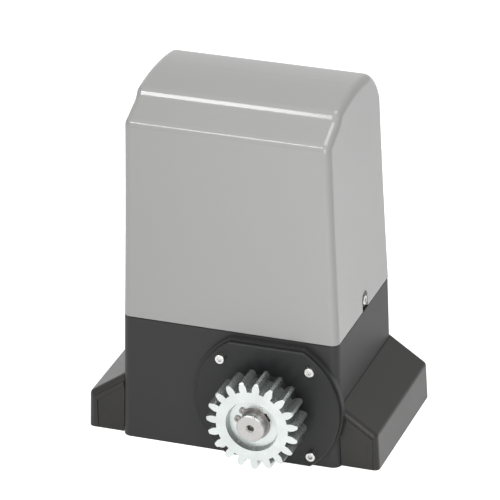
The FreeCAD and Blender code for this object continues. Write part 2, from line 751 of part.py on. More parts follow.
def make_gearcase():
    """Casting round the worm and wheel, seated on the tub's floor and against the front bearing's hub."""
    floor = base_floor + seat_gap
    case = block(case_left, case_right, case_front, case_back, floor, case_top)
    case = case.makeFillet(case_corner, [edge for edge in long_edges(case, Vector(0, 0, 1), case_top / 2)
                                         if edge.BoundBox.YMin < case_front + 1])
    tunnel = rod_y(output_bearing[0] + tunnel_wall, base_front + front_hub_length + seat_gap, case_front + 2)
    case = case.fuse(tunnel)
    for x in (out_x - case_rib / 2, worm_x - case_rib / 2):
        for y in (case_front - case_rib_rise,):
            case = case.fuse(block(x, x + case_rib, y, case_front + 1, floor, case_top - 2 * case_rib))
    bores = [
        rod_y(case_pocket_radius, worm_y - pocket_half_width, case_back + 1),
        rod_y(shaft_radius + 1.5, base_front + front_hub_length, case_back),
        rod_z(worm_pitch_radius + worm_module + 1.0, base_floor + 3, case_top - upper_worm_bearing[2] + 1),
        rod_z(lower_worm_bearing[0], base_floor + 3, base_floor + 3 + lower_worm_bearing[2]),
        rod_z(upper_worm_bearing[0], case_top - upper_worm_bearing[2], case_top + 1),
    ]
    thread = socket_screw_radius + seat_gap
    bores += [rod_y(thread, case_back - 9, case_back + 1, x, z) for x, z in rear_screw_places()]
    bores += [rod_z(thread, case_top - 12, case_top + 1, x, y) for x, y in motor_bolt_places()]
    for bore in bores:
        case = case.cut(bore)
    return one_solid(case)


def tray_block(grow, y0, y1):
    return block(tray_left - grow, tray_right + grow, y0, y1, tray_bottom - grow, tray_top + grow)


def make_release_tray():
    """Moulded tray in the window at the back, with seats for the lever's hinge pin above and below."""
    tray = tray_block(tray_wall, recess_floor - tray_wall, base_back + 1)
    tray = tray.common(base_form(0, base_height))
    tray = tray.cut(tray_block(0, recess_floor, base_back + 2))
    tray = tray.cut(rod_z(pin_radius + seat_gap, lever_bottom - 5, lever_top + 5, hinge_x, hinge_y))
    return one_solid(tray)


def flange_screw_places():
    return [(out_x + x, out_z + z) for x, z in corners(flange_screw_x, flange_screw_z)]


def rear_screw_places():
    inset = rear_screw_inset
    return [(x, z) for x in (case_left + inset, case_right - inset)
            for z in (base_floor + 1 + inset, case_top - 1 - inset)]


def motor_bolt_places():
    places = []
    for quarter in range(4):
        angle = radians(45 + 90 * quarter)
        places.append((worm_x + motor_bolt_circle * cos(angle), worm_y + motor_bolt_circle * sin(angle)))
    return places


def make_flange_plate():
    """Bearing plate with a raised hub that holds the shaft seal."""
    plate = flange_outline(flange_radius, flange_flat, flange_face, base_front - seat_gap)
    rim = [edge for edge in plate.Edges if edge.BoundBox.YMax < flange_face + 0.01]
    plate = plate.makeChamfer(flange_bevel, rim)
    hub = Part.makeCone(hub_radius, hub_radius - hub_taper, hub_height,
                        Vector(out_x, flange_face, out_z), Vector(0, -1, 0))
    plate = plate.fuse(hub)
    plate = plate.cut(rod_y(seal_radius, flange_face - 4.0, flange_face - 4.0 + seal_width))
    plate = plate.cut(rod_y(collar_radius + 1.0, flange_face - hub_height - 1, base_front))
    for x, z in flange_screw_places():
        plate = plate.cut(rod_y(socket_screw_radius + 0.3, flange_face - 1, base_front, x, z))
    return one_solid(plate)


def make_flange_screws():
    towards = Vector(0, -1, 0)
    return Part.makeCompound([
        placed(screw(socket_screw_radius, flange_thickness + 11.5, socket_head_radius, socket_head_height), towards,
               Vector(x, flange_face - seat_gap, z)) for x, z in flange_screw_places()])


def make_seal():
    """Rubber lip seal with a stepped face."""
    y0 = flange_face - 4.0
    seal = rod_y(seal_radius - seat_gap, y0 + seat_gap, y0 + seal_width - seat_gap)
    seal = seal.cut(rod_y(seal_radius - 2.5, y0, y0 + 1.2).cut(rod_y(shaft_radius + 2.5, y0, y0 + 1.2)))
    return one_solid(seal.cut(rod_y(shaft_radius + 0.06, y0 - 1, y0 + seal_width + 1)))


def make_rear_plate():
    """Cover of the gearcase with a spigot inside it and a hub for the rear bearing."""
    x0, x1 = case_left + 0.5, case_right - 0.5
    z0, z1 = base_floor + 1.0, case_top - 1.0
    plate = block(x0, x1, case_back + seat_gap, case_back + rear_plate_thickness, z0, z1)
    plate = plate.makeFillet(rear_plate_corner, long_edges(plate, Vector(0, 1, 0), rear_plate_thickness - 1))
    spigot_depth = case_back - worm_y - pocket_half_width - 0.5
    plate = plate.fuse(rod_y(case_pocket_radius - 0.1, case_back - spigot_depth, case_back + 1))
    hub_back = case_back + rear_plate_thickness + rear_hub_height
    plate = plate.fuse(rod_y(output_bearing[0] + 5.0, case_back + 1, hub_back))
    seat_back = case_back + rear_plate_thickness + 3.0
    plate = plate.cut(rod_y(output_bearing[0], seat_back - output_bearing[2], seat_back + 0.5))
    plate = plate.cut(rod_y(shaft_radius + 2.0, case_back - spigot_depth - 1, seat_back))
    for x, z in rear_screw_places():
        plate = plate.cut(rod_y(socket_screw_radius + 0.3, case_back - spigot_depth - 1, case_back + 20, x, z))
    x, z = oil_plug_place()
    return one_solid(plate.cut(rod_y(oil_plug_radius + seat_gap, case_back - spigot_depth - 1, case_back + 20, x, z)))


def oil_plug_place():
    return out_x - oil_plug_left, out_z + oil_plug_rise


def make_rear_screws():
    return Part.makeCompound([
        placed(screw(socket_screw_radius, rear_plate_thickness + 8.0, socket_head_radius, socket_head_height),
               Vector(0, 1, 0), Vector(x, case_back + rear_plate_thickness + seat_gap, z))
        for x, z in rear_screw_places()])


def make_oil_plug():
    x, z = oil_plug_place()
    face = case_back + rear_plate_thickness
    points = [Vector(x + oil_plug_head * cos(k * pi / 3), face + seat_gap, z + oil_plug_head * sin(k * pi / 3))
              for k in range(7)]
    head = Part.Face(Part.makePolygon(points)).extrude(Vector(0, 6, 0))
    return one_solid(head.fuse(rod_y(oil_plug_radius, face - 8, face + 1, x, z)))


def make_levelling_screws():
    screws = []
    for x, y in corners(anchor_x, levelling_y):
        body = rod_z(levelling_radius, 0.3, 0.3 + levelling_length, x, y)
        slot = block(x - 5, x + 5, y - 0.6, y + 0.6, levelling_length - 1.5, levelling_length + 1)
        screws.append(one_solid(body.cut(slot)))
    return Part.makeCompound(screws)


def make_grommet():
    body = rod_z(grommet_neck - seat_gap, 0.5, base_floor + 1, grommet_x, grommet_y)
    body = body.fuse(rod_z(grommet_neck + grommet_rim, base_floor + seat_gap, base_floor + 4, grommet_x, grommet_y))
    return one_solid(body.cut(rod_z(grommet_bore, 0, base_floor + 5, grommet_x, grommet_y)))


def make_earth_screw():
    return placed(screw(deck_screw_radius, 3.5, 4.0, 2.6, False), Vector(0, 0, 1),
                  Vector(earth_x, earth_y, base_floor + seat_gap))


def make_cover_screws():
    seat = cover_half_width_at(cover_screw_z) - notch_depth + 0.3
    length = seat - base_rim_half_width + cover_wall + free_gap + notch_depth + 6.5
    right = placed(screw(screw_shank_radius, length, screw_head_radius, screw_head_height, False), Vector(1, 0, 0),
                   Vector(seat, cover_screw_y, cover_screw_z))
    return Part.makeCompound([right, mirrored(right)])


# ---------------------------------------------------------------- covers
def cover_half_width_at(z):
    """Half width of the cover between its rim and its waist."""
    share = (z - cover_bottom) / (cover_waist_height - cover_bottom)
    return cover_half_width + share * (cover_waist - cover_half_width)


def cover_side_outline(bottom):
    """Side outline of the cover in the plane x = 0."""
    def at(y, z):
        return Vector(0, y, z)
    rise = (bottom - cover_bottom) / (cover_shoulder_z - cover_bottom)
    foot = at(cover_front + rise * (cover_shoulder_y - cover_front), bottom)
    shoulder = at(cover_shoulder_y, cover_shoulder_z)
    step_foot = at(cover_step_y, cover_step_z)
    step_top = at(cover_step_top_y, cover_step_top_z)
    dome, rear = at(cover_dome_y, cover_top), at(cover_rear_y, cover_rear_z)
    rise = (bottom - cover_bottom) / (cover_back_top_z - cover_bottom)
    back_top = at(cover_back_top_y, cover_back_top_z)
    back_foot = at(cover_back + rise * (cover_back_top_y - cover_back), bottom)
    chord = back_top - rear
    bulge = rear_round_radius - sqrt(rear_round_radius ** 2 - chord.Length ** 2 / 4)
    outward = Vector(0, -chord.z, chord.y) * (bulge / chord.Length)
    return Part.Wire([
        Part.makeLine(foot, shoulder), Part.makeLine(shoulder, step_foot), Part.makeLine(step_foot, step_top),
        Part.Arc(step_top, dome, rear).toShape(),
        Part.Arc(rear, (rear + back_top) * 0.5 + outward, back_top).toShape(),
        Part.makeLine(back_top, back_foot), Part.makeLine(back_foot, foot)])


def cover_front_outline(inset):
    """Front outline of the cover, which narrows upwards in a slight curve."""
    def at(half, z, side):
        return Vector(side * (half - inset), -2 * base_half_width, z)
    top = (cover_top_half_width, cover_top)
    waist = (cover_waist, cover_waist_height)
    rim = (cover_half_width, cover_bottom)
    low = (cover_half_width, cover_bottom - (base_wall if inset else 0))
    edges = [Part.Arc(at(*rim, 1), at(*waist, 1), at(*top, 1)).toShape(), Part.makeLine(at(*top, 1), at(*top, -1)),
             Part.Arc(at(*top, -1), at(*waist, -1), at(*rim, -1)).toShape()]
    if inset:
        edges += [Part.makeLine(at(*rim, -1), at(*low, -1)), Part.makeLine(at(*low, 1), at(*rim, 1))]
    edges.append(Part.makeLine(at(*low, -1), at(*low, 1)))
    return Part.Wire(Part.sortEdges(edges)[0])


def cover_form(inset=0.0):
    """The cover's outer form, or the same form inset for its inner side."""
    bottom = cover_bottom - (4 * base_wall if inset else 0)
    side = Part.Face(cover_side_outline(bottom))
    if inset:
        side = side.makeOffset2D(-inset, join=2)
    reach = 1.2 * base_half_width
    side.translate(Vector(-reach, 0, 0))
    form = side.extrude(Vector(2 * reach, 0, 0))
    front = Part.Face(cover_front_outline(inset)).extrude(Vector(0, 4 * base_half_width, 0))
    return form.common(front).removeSplitter()


def edges_across(form, y, z):
    """Edges that run right across the cover near a point of its side outline."""
    return [edge for edge in form.Edges if edge.BoundBox.XLength > cover_top_half_width
            and abs(edge.BoundBox.Center.y - y) < 2 and abs(edge.BoundBox.Center.z - z) < 2]


def side_edges(form):
    """Edges where the two sides meet the front, top and back."""
    found = []
    for edge in form.Edges:
        points = [vertex.Point for vertex in edge.Vertexes]
        outside = all(abs(point.x) > 0.8 * cover_top_half_width for point in points)
        if outside and points[0].x * points[-1].x > 0 and edge.BoundBox.ZMax > cover_bottom + 1:
            found.append(edge)
    return found


def make_top_cover():
    outer = cover_form()
    outer = outer.makeFillet(cover_shoulder_round, edges_across(outer, cover_shoulder_y, cover_shoulder_z))
    outer = outer.makeFillet(cover_step_round, edges_across(outer, cover_step_y, cover_step_z))
    outer = outer.makeFillet(cover_step_round, edges_across(outer, cover_step_top_y, cover_step_top_z))
    outer = outer.makeFillet(cover_rear_round, edges_across(outer, cover_rear_y, cover_rear_z))
    outer = outer.makeFillet(cover_back_round, edges_across(outer, cover_back_top_y, cover_back_top_z))
    outer = outer.makeFillet(cover_edge, side_edges(outer))
    inner = cover_form(cover_wall)
    inner_edge = cover_edge - cover_wall
    inner = inner.makeFillet(inner_edge, side_edges(inner))

    # the channel is pressed into the wall from outside and stands proud inside
    channel = block(-channel_half_width, channel_half_width, channel_front, base_back + 20,
                    channel_bottom, cover_top + 20)
    wall_half = channel_half_width + cover_wall
    wall_side = block(-wall_half, wall_half, channel_front - cover_wall, base_back + 20,
                      channel_bottom - cover_wall, cover_top + 20)
    outer = outer.cut(channel.cut(cover_form(channel_depth)))
    inner = inner.cut(wall_side.cut(cover_form(channel_depth + cover_wall)))
    cover = outer.cut(inner)

    # notches for the two cover screws, each with a pad behind and a slot open at the rim
    face = cover_half_width_at(cover_screw_z)
    half = notch_width / 2
    pad = block(face - notch_depth - pad_depth, face - cover_wall + 0.5, cover_screw_y - half - 3,
                cover_screw_y + half + 3, cover_bottom, cover_screw_z + half + 4)
    notch_top = cover_screw_z + notch_rise
    notch = block(face - notch_depth, face + 10, cover_screw_y - half, cover_screw_y + half,
                  cover_bottom - 1, notch_top)
    notch = notch.fuse(rod_x(half, face - notch_depth, face + 10, cover_screw_y, notch_top))
    slot_half = screw_shank_radius + free_gap
    slot = block(face - 20, face + 10, cover_screw_y - slot_half, cover_screw_y + slot_half,
                 cover_bottom - 1, cover_screw_z)
    slot = slot.fuse(rod_x(slot_half, face - 20, face + 10, cover_screw_y, cover_screw_z))
    cover = cover.fuse(pad).fuse(mirrored(pad))
    for cutter in (notch, slot):
        cover = cover.cut(cutter).cut(mirrored(cutter))
    return one_solid(cover)


def foot_cover_outline(inset):
    """Front outline of a foot cover: sloped top, drafted outer side, open towards the base."""
    low = -10.0 if inset else foot_cover_lift
    outer = foot_cover_reach - inset
    drop = inset * 1.2
    return Part.makePolygon([
        Vector(0, 0, low), Vector(outer, 0, low),
        Vector(outer - foot_cover_draft, 0, foot_cover_outer_height - drop),
        Vector(base_half_width - 6, 0, foot_cover_inner_height + 4.1 - drop),
        Vector(0, 0, foot_cover_inner_height + 4.1 - drop), Vector(0, 0, low)])


def make_foot_cover():
    """Hollow cap over the right foot, closed in front, behind, outside and above."""
    outer = Part.Face(foot_cover_outline(0))
    outer.translate(Vector(0, foot_cover_front, 0))
    outer = outer.extrude(Vector(0, foot_cover_back - foot_cover_front, 0))
    rounded = [edge for edge in outer.Edges if edge.BoundBox.XMin > base_half_width - 7
               and edge.BoundBox.ZMax > 1 and edge.BoundBox.XMax > base_half_width]
    outer = outer.makeFillet(foot_cover_round, rounded)
    inner = Part.Face(foot_cover_outline(foot_cover_wall))
    inner.translate(Vector(0, foot_cover_front + foot_cover_wall, 0))
    inner = inner.extrude(Vector(0, foot_cover_back - foot_cover_front - 2 * foot_cover_wall, 0))
    cap = outer.cut(inner)
    return one_solid(cap.cut(base_form(-1, base_height, free_gap)))


# ---------------------------------------------------------------- motor
def make_motor_flange():
    """Lower end shield: a disc on the gearcase that centres the motor body over the worm."""
    disc = rod_z(motor_radius, case_top + seat_gap, motor_base_z)
    disc = disc.fuse(rod_z(stator_radius - seat_gap, motor_base_z - 1, motor_base_z + 3))
    disc = disc.cut(rod_z(stator_radius - 5.0, motor_base_z, motor_base_z + 4))
    disc = disc.cut(rod_z(upper_worm_bearing[1] + 0.6, case_top - 1, motor_base_z + 4))
    for x, y in motor_bolt_places():
        disc = disc.cut(rod_z(socket_screw_radius + 0.3, case_top - 1, motor_base_z + 5, x, y))
    return one_solid(disc)


def make_motor_housing():
    """Extruded aluminium body with cooling fins all round."""
    z0 = motor_base_z + seat_gap
    z1 = motor_top_z
    body = rod_z(motor_radius - fin_depth, z0, z1)
    fin = block(-fin_thickness / 2, fin_thickness / 2, motor_radius - fin_depth - 1, motor_radius, z0, z1)
    fins = []
    for step in range(fin_count):
        copy = fin.copy()
        copy.rotate(Vector(0, 0, 0), Vector(0, 0, 1), step * 360 / fin_count)
        copy.translate(Vector(worm_x, worm_y, 0))
        fins.append(copy)
    bolt_bosses = [rod_z(motor_bolt_boss, z0, z1, x, y) for x, y in motor_bolt_places()]
    body = body.multiFuse(fins + bolt_bosses)
    body = body.cut(rod_z(stator_radius, z0 - 1, z1 + 1))
    for x, y in motor_bolt_places():
        body = body.cut(rod_z(socket_screw_radius + 0.2, z0 - 1, z1 + 1, x, y))
    return one_solid(body)


def make_motor_cap():
    """Upper end shield with a raised centre over the top bearing."""
    z0 = motor_top_z + seat_gap
    rim_height = motor_cap_height - motor_cap_rise
    cap = rod_z(motor_radius, z0, z0 + rim_height)
    cap = cap.fuse(Part.makeCone(motor_radius - 14, motor_radius - 20, motor_cap_rise,
                                 Vector(worm_x, worm_y, z0 + rim_height)))
    cap = cap.cut(rod_z(top_rotor_bearing[0], z0 - 1, z0 + top_rotor_bearing[2]))
    for x, y in motor_bolt_places():
        cap = cap.cut(rod_z(socket_screw_radius + 0.3, z0 - 1, z0 + 20, x, y))
    return one_solid(cap)


def make_motor_bolts():
    """Long screws that hold cap, body and flange down on the gearcase."""
    rim_top = motor_top_z + motor_cap_height - motor_cap_rise + seat_gap
    length = rim_top - case_top + 10.0
    return Part.makeCompound([
        placed(screw(socket_screw_radius, length, socket_head_radius, socket_head_height), Vector(0, 0, 1),
               Vector(x, y, rim_top + seat_gap)) for x, y in motor_bolt_places()])


def make_stator_core():
    """Laminated stack with winding slots round its bore."""
    core = rod_z(stator_radius - seat_gap, core_bottom, core_bottom + core_height)
    core = core.cut(rod_z(rotor_radius + air_gap, core_bottom - 1, core_bottom + core_height + 1))
    slots = []
    for step in range(stator_slots):
        slot = block(-2.2, 2.2, rotor_radius + 2, rotor_radius + 11, core_bottom, core_bottom + core_height)
        slot.rotate(Vector(0, 0, 0), Vector(0, 0, 1), step * 360 / stator_slots)
        slot.translate(Vector(worm_x, worm_y, 0))
        slots.append(slot)
    return one_solid(core.cut(Part.makeCompound(slots)))


def make_stator_windings():
    """End turns of the winding above and below the stack."""
    turns = []
    inner, outer = rotor_radius + 2.5, stator_radius - 4.0
    bevel, height = winding_bevel, winding_height
    section = [(inner, bevel), (inner + bevel, 0), (outer - bevel, 0), (outer, bevel), (outer, height - bevel),
               (outer - bevel, height), (inner + bevel, height), (inner, height - bevel), (inner, bevel)]
    for z in (core_bottom - height - seat_gap, core_bottom + core_height + seat_gap):
        ring = Part.Face(Part.makePolygon([Vector(r, 0, h) for r, h in section]))
        ring = ring.revolve(Vector(0, 0, 0), Vector(0, 0, 1), 360)
        turns.append(ring.translated(Vector(worm_x, worm_y, z)))
    return Part.makeCompound(turns)


def make_rotor_core():
    core = rod_z(rotor_radius, core_bottom, core_bottom + core_height)
    for z in (core_bottom - 4.0, core_bottom + core_height - 0.5):
        core = core.fuse(rod_z(rotor_radius - 1.0, z, z + 4.5).cut(rod_z(rotor_radius - 8, z, z + 4.5)))
    return one_solid(core.cut(rod_z(rotor_seat_radius + seat_gap, core_bottom - 5, core_bottom + core_height + 5)))


def standing_bearing(sizes, z):
    return placed(ball_bearing(sizes), Vector(0, 0, 1), Vector(worm_x, worm_y, z))


def lying_bearing(y):
    return placed(ball_bearing(output_bearing), Vector(0, 1, 0), Vector(out_x, y, out_z))


# ---------------------------------------------------------------- deck and electrics
def make_deck():
    """Sheet-metal deck over the tub, open round the motor and at the cables."""
    deck = base_form(deck_z, deck_top, -deck_edge)
    deck = deck.cut(rod_z(motor_radius + 1.0, deck_z - 1, deck_top + 1))
    deck = deck.cut(block(cable_slot_left, cable_slot_right, cable_slot_front, cable_slot_back,
                          deck_z - 1, deck_top + 1))
    ear_inner = base_rim_half_width - cover_wall - free_gap - pad_depth - ear_depth - 1.0
    for side in (-1, 1):
        x0, x1 = sorted((side * ear_inner, side * base_half_width))
        deck = deck.cut(block(x0, x1, cover_screw_y - 10, cover_screw_y + 10, deck_z - 1, deck_top + 1))
    for x, y in corners(post_x, post_y):
        deck = deck.cut(rod_z(deck_screw_radius + 0.2, deck_z - 1, deck_top + 1, x, y))
    return one_solid(deck)


def make_deck_screws():
    return Part.makeCompound([
        placed(screw(deck_screw_radius, 11.0, 3.8, 2.6, False), Vector(0, 0, 1), Vector(x, y, deck_top + seat_gap))
        for x, y in corners(post_x, post_y)])


def board_screw_places():
    inset = board_hole_inset
    return [(x, z) for x in (inset - board_half_width, board_half_width - inset)
            for z in (board_bottom + board_hole_rise, board_top - inset)]


def make_bracket():
    """Plastic carrier: an upright plate on a foot, with spacers for the board."""
    y0, y1 = board_back, board_back + bracket_wall
    plate = block(-bracket_half_width, bracket_half_width, y0, y1, deck_top + seat_gap, bracket_top)
    plate = plate.makeFillet(bracket_corner, [edge for edge in long_edges(plate, Vector(0, 1, 0), 1)
                                              if edge.BoundBox.ZMin > bracket_top - 1])
    plate = plate.fuse(block(-bracket_foot_half, bracket_foot_half, y0, y0 + bracket_foot_depth,
                             deck_top + seat_gap, deck_top + bracket_wall))
    for x in (-bracket_rib_x, bracket_rib_x):
        plate = plate.fuse(block(x - bracket_wall / 2, x + bracket_wall / 2, y0 - bracket_rib_depth, y0 + 1,
                                 deck_top + 40, bracket_top - 30))
    for x, z in board_screw_places():
        plate = plate.fuse(rod_y(4.0, y1 - 1, y1 + board_spacer - seat_gap, x, z))
    for x, z in board_screw_places():
        plate = plate.cut(rod_y(1.5, y0 - 1, y1 + board_spacer + 1, x, z))
    return one_solid(plate)


def make_board():
    y0 = board_front - board_thickness
    board = block(-board_half_width, board_half_width, y0, board_front, board_bottom, board_top)
    for x, z in board_screw_places():
        board = board.cut(rod_y(1.7, y0 - 1, board_front + 1, x, z))
    return one_solid(board)


def make_board_screws():
    return Part.makeCompound([
        placed(screw(1.45, board_thickness + board_spacer, 2.8, 2.0, False), Vector(0, 1, 0),
               Vector(x, board_front + seat_gap, z)) for x, z in board_screw_places()])


def on_board(x0, x1, z0, z1, depth):
    return block(x0, x1, board_front, board_front + depth, z0, z1)


def make_relays():
    return Part.makeCompound([on_board(x, x + 19, relay_z, relay_z + 29, 14.5) for x in (-62.0, -38.0, -14.0)])


def make_terminal_blocks():
    """Screw terminals along the foot of the board: a wire mouth below and a screw well in front of each pole."""
    blocks = []
    pole, foot = terminal_pole, board_bottom + 2.0
    for x0, poles in ((-68.0, 5), (-40.0, 8), (4.0, 6), (38.0, 6)):
        body = on_board(x0, x0 + poles * pole, foot, foot + terminal_depth, terminal_depth)
        for step in range(poles):
            x = x0 + pole * (step + 0.5)
            body = body.cut(block(x - 1.6, x + 1.6, board_front + 2, board_front + 7, foot - 2, foot + 4))
            body = body.cut(rod_y(1.7, board_front + 9, board_front + terminal_depth + 1, x, foot + 7))
        blocks.append(one_solid(body))
    return Part.makeCompound(blocks)


def make_fuse_holder():
    z = relay_z + 13.5
    body = on_board(16, 40, z - 4.5, z + 4.5, 8.0)
    return one_solid(body.fuse(rod_x(5.5, 19, 37, board_front + 8.0, z)))


def make_board_capacitors():
    """Electrolytic capacitors as cylinders: radius, height over the board, and place."""
    cans = [(6.0, 15.0, 58.0, relay_z + 18), (6.0, 15.0, 58.0, relay_z),
            (4.0, 11.0, 30.0, relay_z - 16), (4.0, 11.0, -50.0, relay_z - 20)]
    return Part.makeCompound([rod_y(radius, board_front, board_front + depth, x, z) for radius, depth, x, z in cans])


def make_transformer():
    """Laminated core standing on its bobbin."""
    x, y, z = transformer_x, transformer_y, deck_top + seat_gap
    core = block(x - 21, x + 21, y - 9, y + 9, z, z + 38)
    coil = block(x - 14, x + 14, y - 16, y + 16, z + 6, z + 32)
    coil = coil.makeFillet(4.0, long_edges(coil, Vector(0, 0, 1), 20))
    return one_solid(core.fuse(coil).fuse(block(x - 21, x + 21, y - 13, y + 13, z, z + 2.5)))


def make_capacitor():
    z0 = deck_top + seat_gap
    can = rod_z(capacitor_radius, z0, z0 + capacitor_height, capacitor_x, capacitor_y)
    can = can.makeFillet(2.5, [edge for edge in can.Edges if edge.BoundBox.ZMin > z0 + capacitor_height - 1])
    for x in (-5.0, 5.0):
        can = can.fuse(block(capacitor_x + x - 0.4, capacitor_x + x + 0.4, capacitor_y - 3, capacitor_y + 3,
                             z0 + capacitor_height - 1, z0 + capacitor_height + 8))
    return one_solid(can)


def make_capacitor_clamp():
    """Sheet band round the can with a foot screwed to the deck."""
    z0 = deck_top + seat_gap
    band = rod_z(capacitor_radius + 1.5, z0, z0 + 20, capacitor_x, capacitor_y)
    foot = block(capacitor_x - 12, capacitor_x + 12, capacitor_y - capacitor_radius - 8, capacitor_y, z0, z0 + 1.5)
    band = band.fuse(foot)
    return one_solid(band.cut(rod_z(capacitor_radius + seat_gap, z0 - 1, z0 + 21, capacitor_x, capacitor_y)))


def make_sensor():
    """Travel-limit sensor: a sealed block screwed to its seat behind the front wall."""
    y0 = sensor_seat_y + seat_gap
    body = block(sensor_x0, sensor_x1, y0, y0 + sensor_depth, sensor_z0, sensor_z1)
    body = body.makeFillet(2.0, long_edges(body, Vector(0, 1, 0), sensor_depth - 1))
    return one_solid(body)


def make_gasket():
    """Rubber strip on the rim, outside the lip and under the cover's edge."""
    outer = base_form(base_height + seat_gap, base_height + split_gap - 0.3, -0.8)
    inner = base_form(base_height - 1, base_height + 2, -cover_wall - free_gap + 0.1)
    strip = outer.cut(inner)
    gap = notch_width / 2 + 5.0
    return strip.cut(block(-base_half_width, base_half_width, cover_screw_y - gap, cover_screw_y + gap,
                           base_height, base_height + 2))


# ---------------------------------------------------------------- manual release
def make_lever():
    """Handle that lies in its recess and swings out about an upright pin."""
    y0, y1 = hinge_y - lever_hub_radius, lever_face
    bar = block(lever_left, hinge_x, y1 - lever_thickness, y1, lever_bottom, lever_top)
    ends = [edge for edge in long_edges(bar, Vector(0, 1, 0), 4) if edge.BoundBox.XMin < lever_left + 1]
    bar = bar.makeFillet(5.0, ends)
    bar = bar.fuse(rod_z(lever_hub_radius, lever_bottom, lever_top, hinge_x, hinge_y))
    bar = bar.cut(rod_z(pin_radius + running_gap, lever_bottom - 1, lever_top + 1, hinge_x, hinge_y))
    bar = bar.cut(rod_y(lock_radius + running_gap, y0 - 2, y1 + 2, lock_x, lever_middle))
    grip = block(lever_left + 26, hinge_x - 12, y1 - lever_grip_depth, y1 + 1, lever_middle - 6, lever_middle + 6)
    return one_solid(bar.cut(grip))


def make_release_pin():
    return rod_z(pin_radius, lever_bottom - 4.5, lever_top + 4.5, hinge_x, hinge_y)


def make_lock_barrel():
    """Cylinder lock in the lever, with an upright keyway."""
    barrel = rod_y(lock_radius, lever_face - lever_thickness, lever_face, lock_x, lever_middle)
    half = keyway_width / 2
    keyway = block(lock_x - half, lock_x + half, lever_face - keyway_depth, lever_face + 1,
                   lever_middle - keyway_rise, lever_middle + keyway_rise)
    return one_solid(barrel.cut(keyway))


# ---------------------------------------------------------------- every node
if __name__ == "__main__":
    foot_cover = make_foot_cover()
    nodes = {
        "base_housing": make_base(),
        "fixing_feet": make_feet(),
        "foot_screws": make_foot_screws(),
        "gearcase": make_gearcase(),
        "release_tray": make_release_tray(),
        "base_floor": make_base_floor(),
        "deck_posts": make_deck_posts(),
        "flange_plate": make_flange_plate(),
        "flange_screws": make_flange_screws(),
        "shaft_seal": make_seal(),
        "bearing_front": lying_bearing(base_front),
        "bearing_rear": lying_bearing(case_back + rear_plate_thickness + 3.0 - output_bearing[2]),
        "gearcase_cover": make_rear_plate(),
        "gearcase_screws": make_rear_screws(),
        "oil_plug": make_oil_plug(),
        "levelling_screws": make_levelling_screws(),
        "cable_grommet": make_grommet(),
        "earth_screw": make_earth_screw(),
        "cover_screws": make_cover_screws(),
        "output_shaft": make_output_shaft(),
        "pinion": make_pinion(),
        "pinion_key": make_pinion_key(),
        "pinion_circlip": make_circlip(),
        "worm_wheel": make_worm_wheel(),
        "wheel_key": wheel_key_bar(0),
        "motor_flange": make_motor_flange(),
        "motor_housing": make_motor_housing(),
        "motor_cap": make_motor_cap(),
        "motor_bolts": make_motor_bolts(),
        "stator_core": make_stator_core(),
        "stator_windings": make_stator_windings(),
        "worm_shaft": make_worm_shaft(),
        "rotor_core": make_rotor_core(),
        "worm_bearing_lower": standing_bearing(lower_worm_bearing, base_floor + 3),
        "worm_bearing_upper": standing_bearing(upper_worm_bearing, case_top - upper_worm_bearing[2]),
        "rotor_bearing_top": standing_bearing(top_rotor_bearing, motor_top_z + seat_gap),
        "deck_plate": make_deck(),
        "deck_screws": make_deck_screws(),
        "board_bracket": make_bracket(),
        "circuit_board": make_board(),
        "board_screws": make_board_screws(),
        "relays": make_relays(),
        "terminal_blocks": make_terminal_blocks(),
        "fuse_holder": make_fuse_holder(),
        "board_capacitors": make_board_capacitors(),
        "transformer": make_transformer(),
        "run_capacitor": make_capacitor(),
        "capacitor_clamp": make_capacitor_clamp(),
        "limit_sensor": make_sensor(),
        "rim_gasket": make_gasket(),
        "top_cover": make_top_cover(),
        "foot_cover_right": foot_cover,
        "foot_cover_left": mirrored(foot_cover),
        "release_lever": make_lever(),
        "release_pin": make_release_pin(),
        "lock_barrel": make_lock_barrel(),
    }
    for node, shape in nodes.items():
        save(node, shape)
    print(len(nodes), "nodes")
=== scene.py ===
import math

import bpy
from mathutils import Matrix, Vector


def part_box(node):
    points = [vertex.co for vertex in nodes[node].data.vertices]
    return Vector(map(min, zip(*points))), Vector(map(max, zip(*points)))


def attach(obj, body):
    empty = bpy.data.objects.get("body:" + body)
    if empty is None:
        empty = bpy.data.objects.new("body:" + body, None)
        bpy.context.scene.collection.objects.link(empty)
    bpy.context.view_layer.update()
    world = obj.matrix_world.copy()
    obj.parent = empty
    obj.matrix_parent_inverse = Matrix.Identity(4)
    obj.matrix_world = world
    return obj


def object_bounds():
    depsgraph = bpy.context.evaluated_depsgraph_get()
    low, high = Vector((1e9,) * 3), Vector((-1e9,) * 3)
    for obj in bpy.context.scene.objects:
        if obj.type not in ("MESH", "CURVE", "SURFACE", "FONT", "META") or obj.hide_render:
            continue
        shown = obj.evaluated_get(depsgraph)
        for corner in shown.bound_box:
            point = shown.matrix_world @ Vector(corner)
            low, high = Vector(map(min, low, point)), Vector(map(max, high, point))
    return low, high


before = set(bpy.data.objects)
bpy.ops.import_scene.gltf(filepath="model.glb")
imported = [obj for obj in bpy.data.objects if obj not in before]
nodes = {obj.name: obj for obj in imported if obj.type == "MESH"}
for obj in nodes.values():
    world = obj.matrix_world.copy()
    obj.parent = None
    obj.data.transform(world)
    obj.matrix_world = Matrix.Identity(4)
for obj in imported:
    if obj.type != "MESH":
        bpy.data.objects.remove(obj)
cad_lowest, cad_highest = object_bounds()

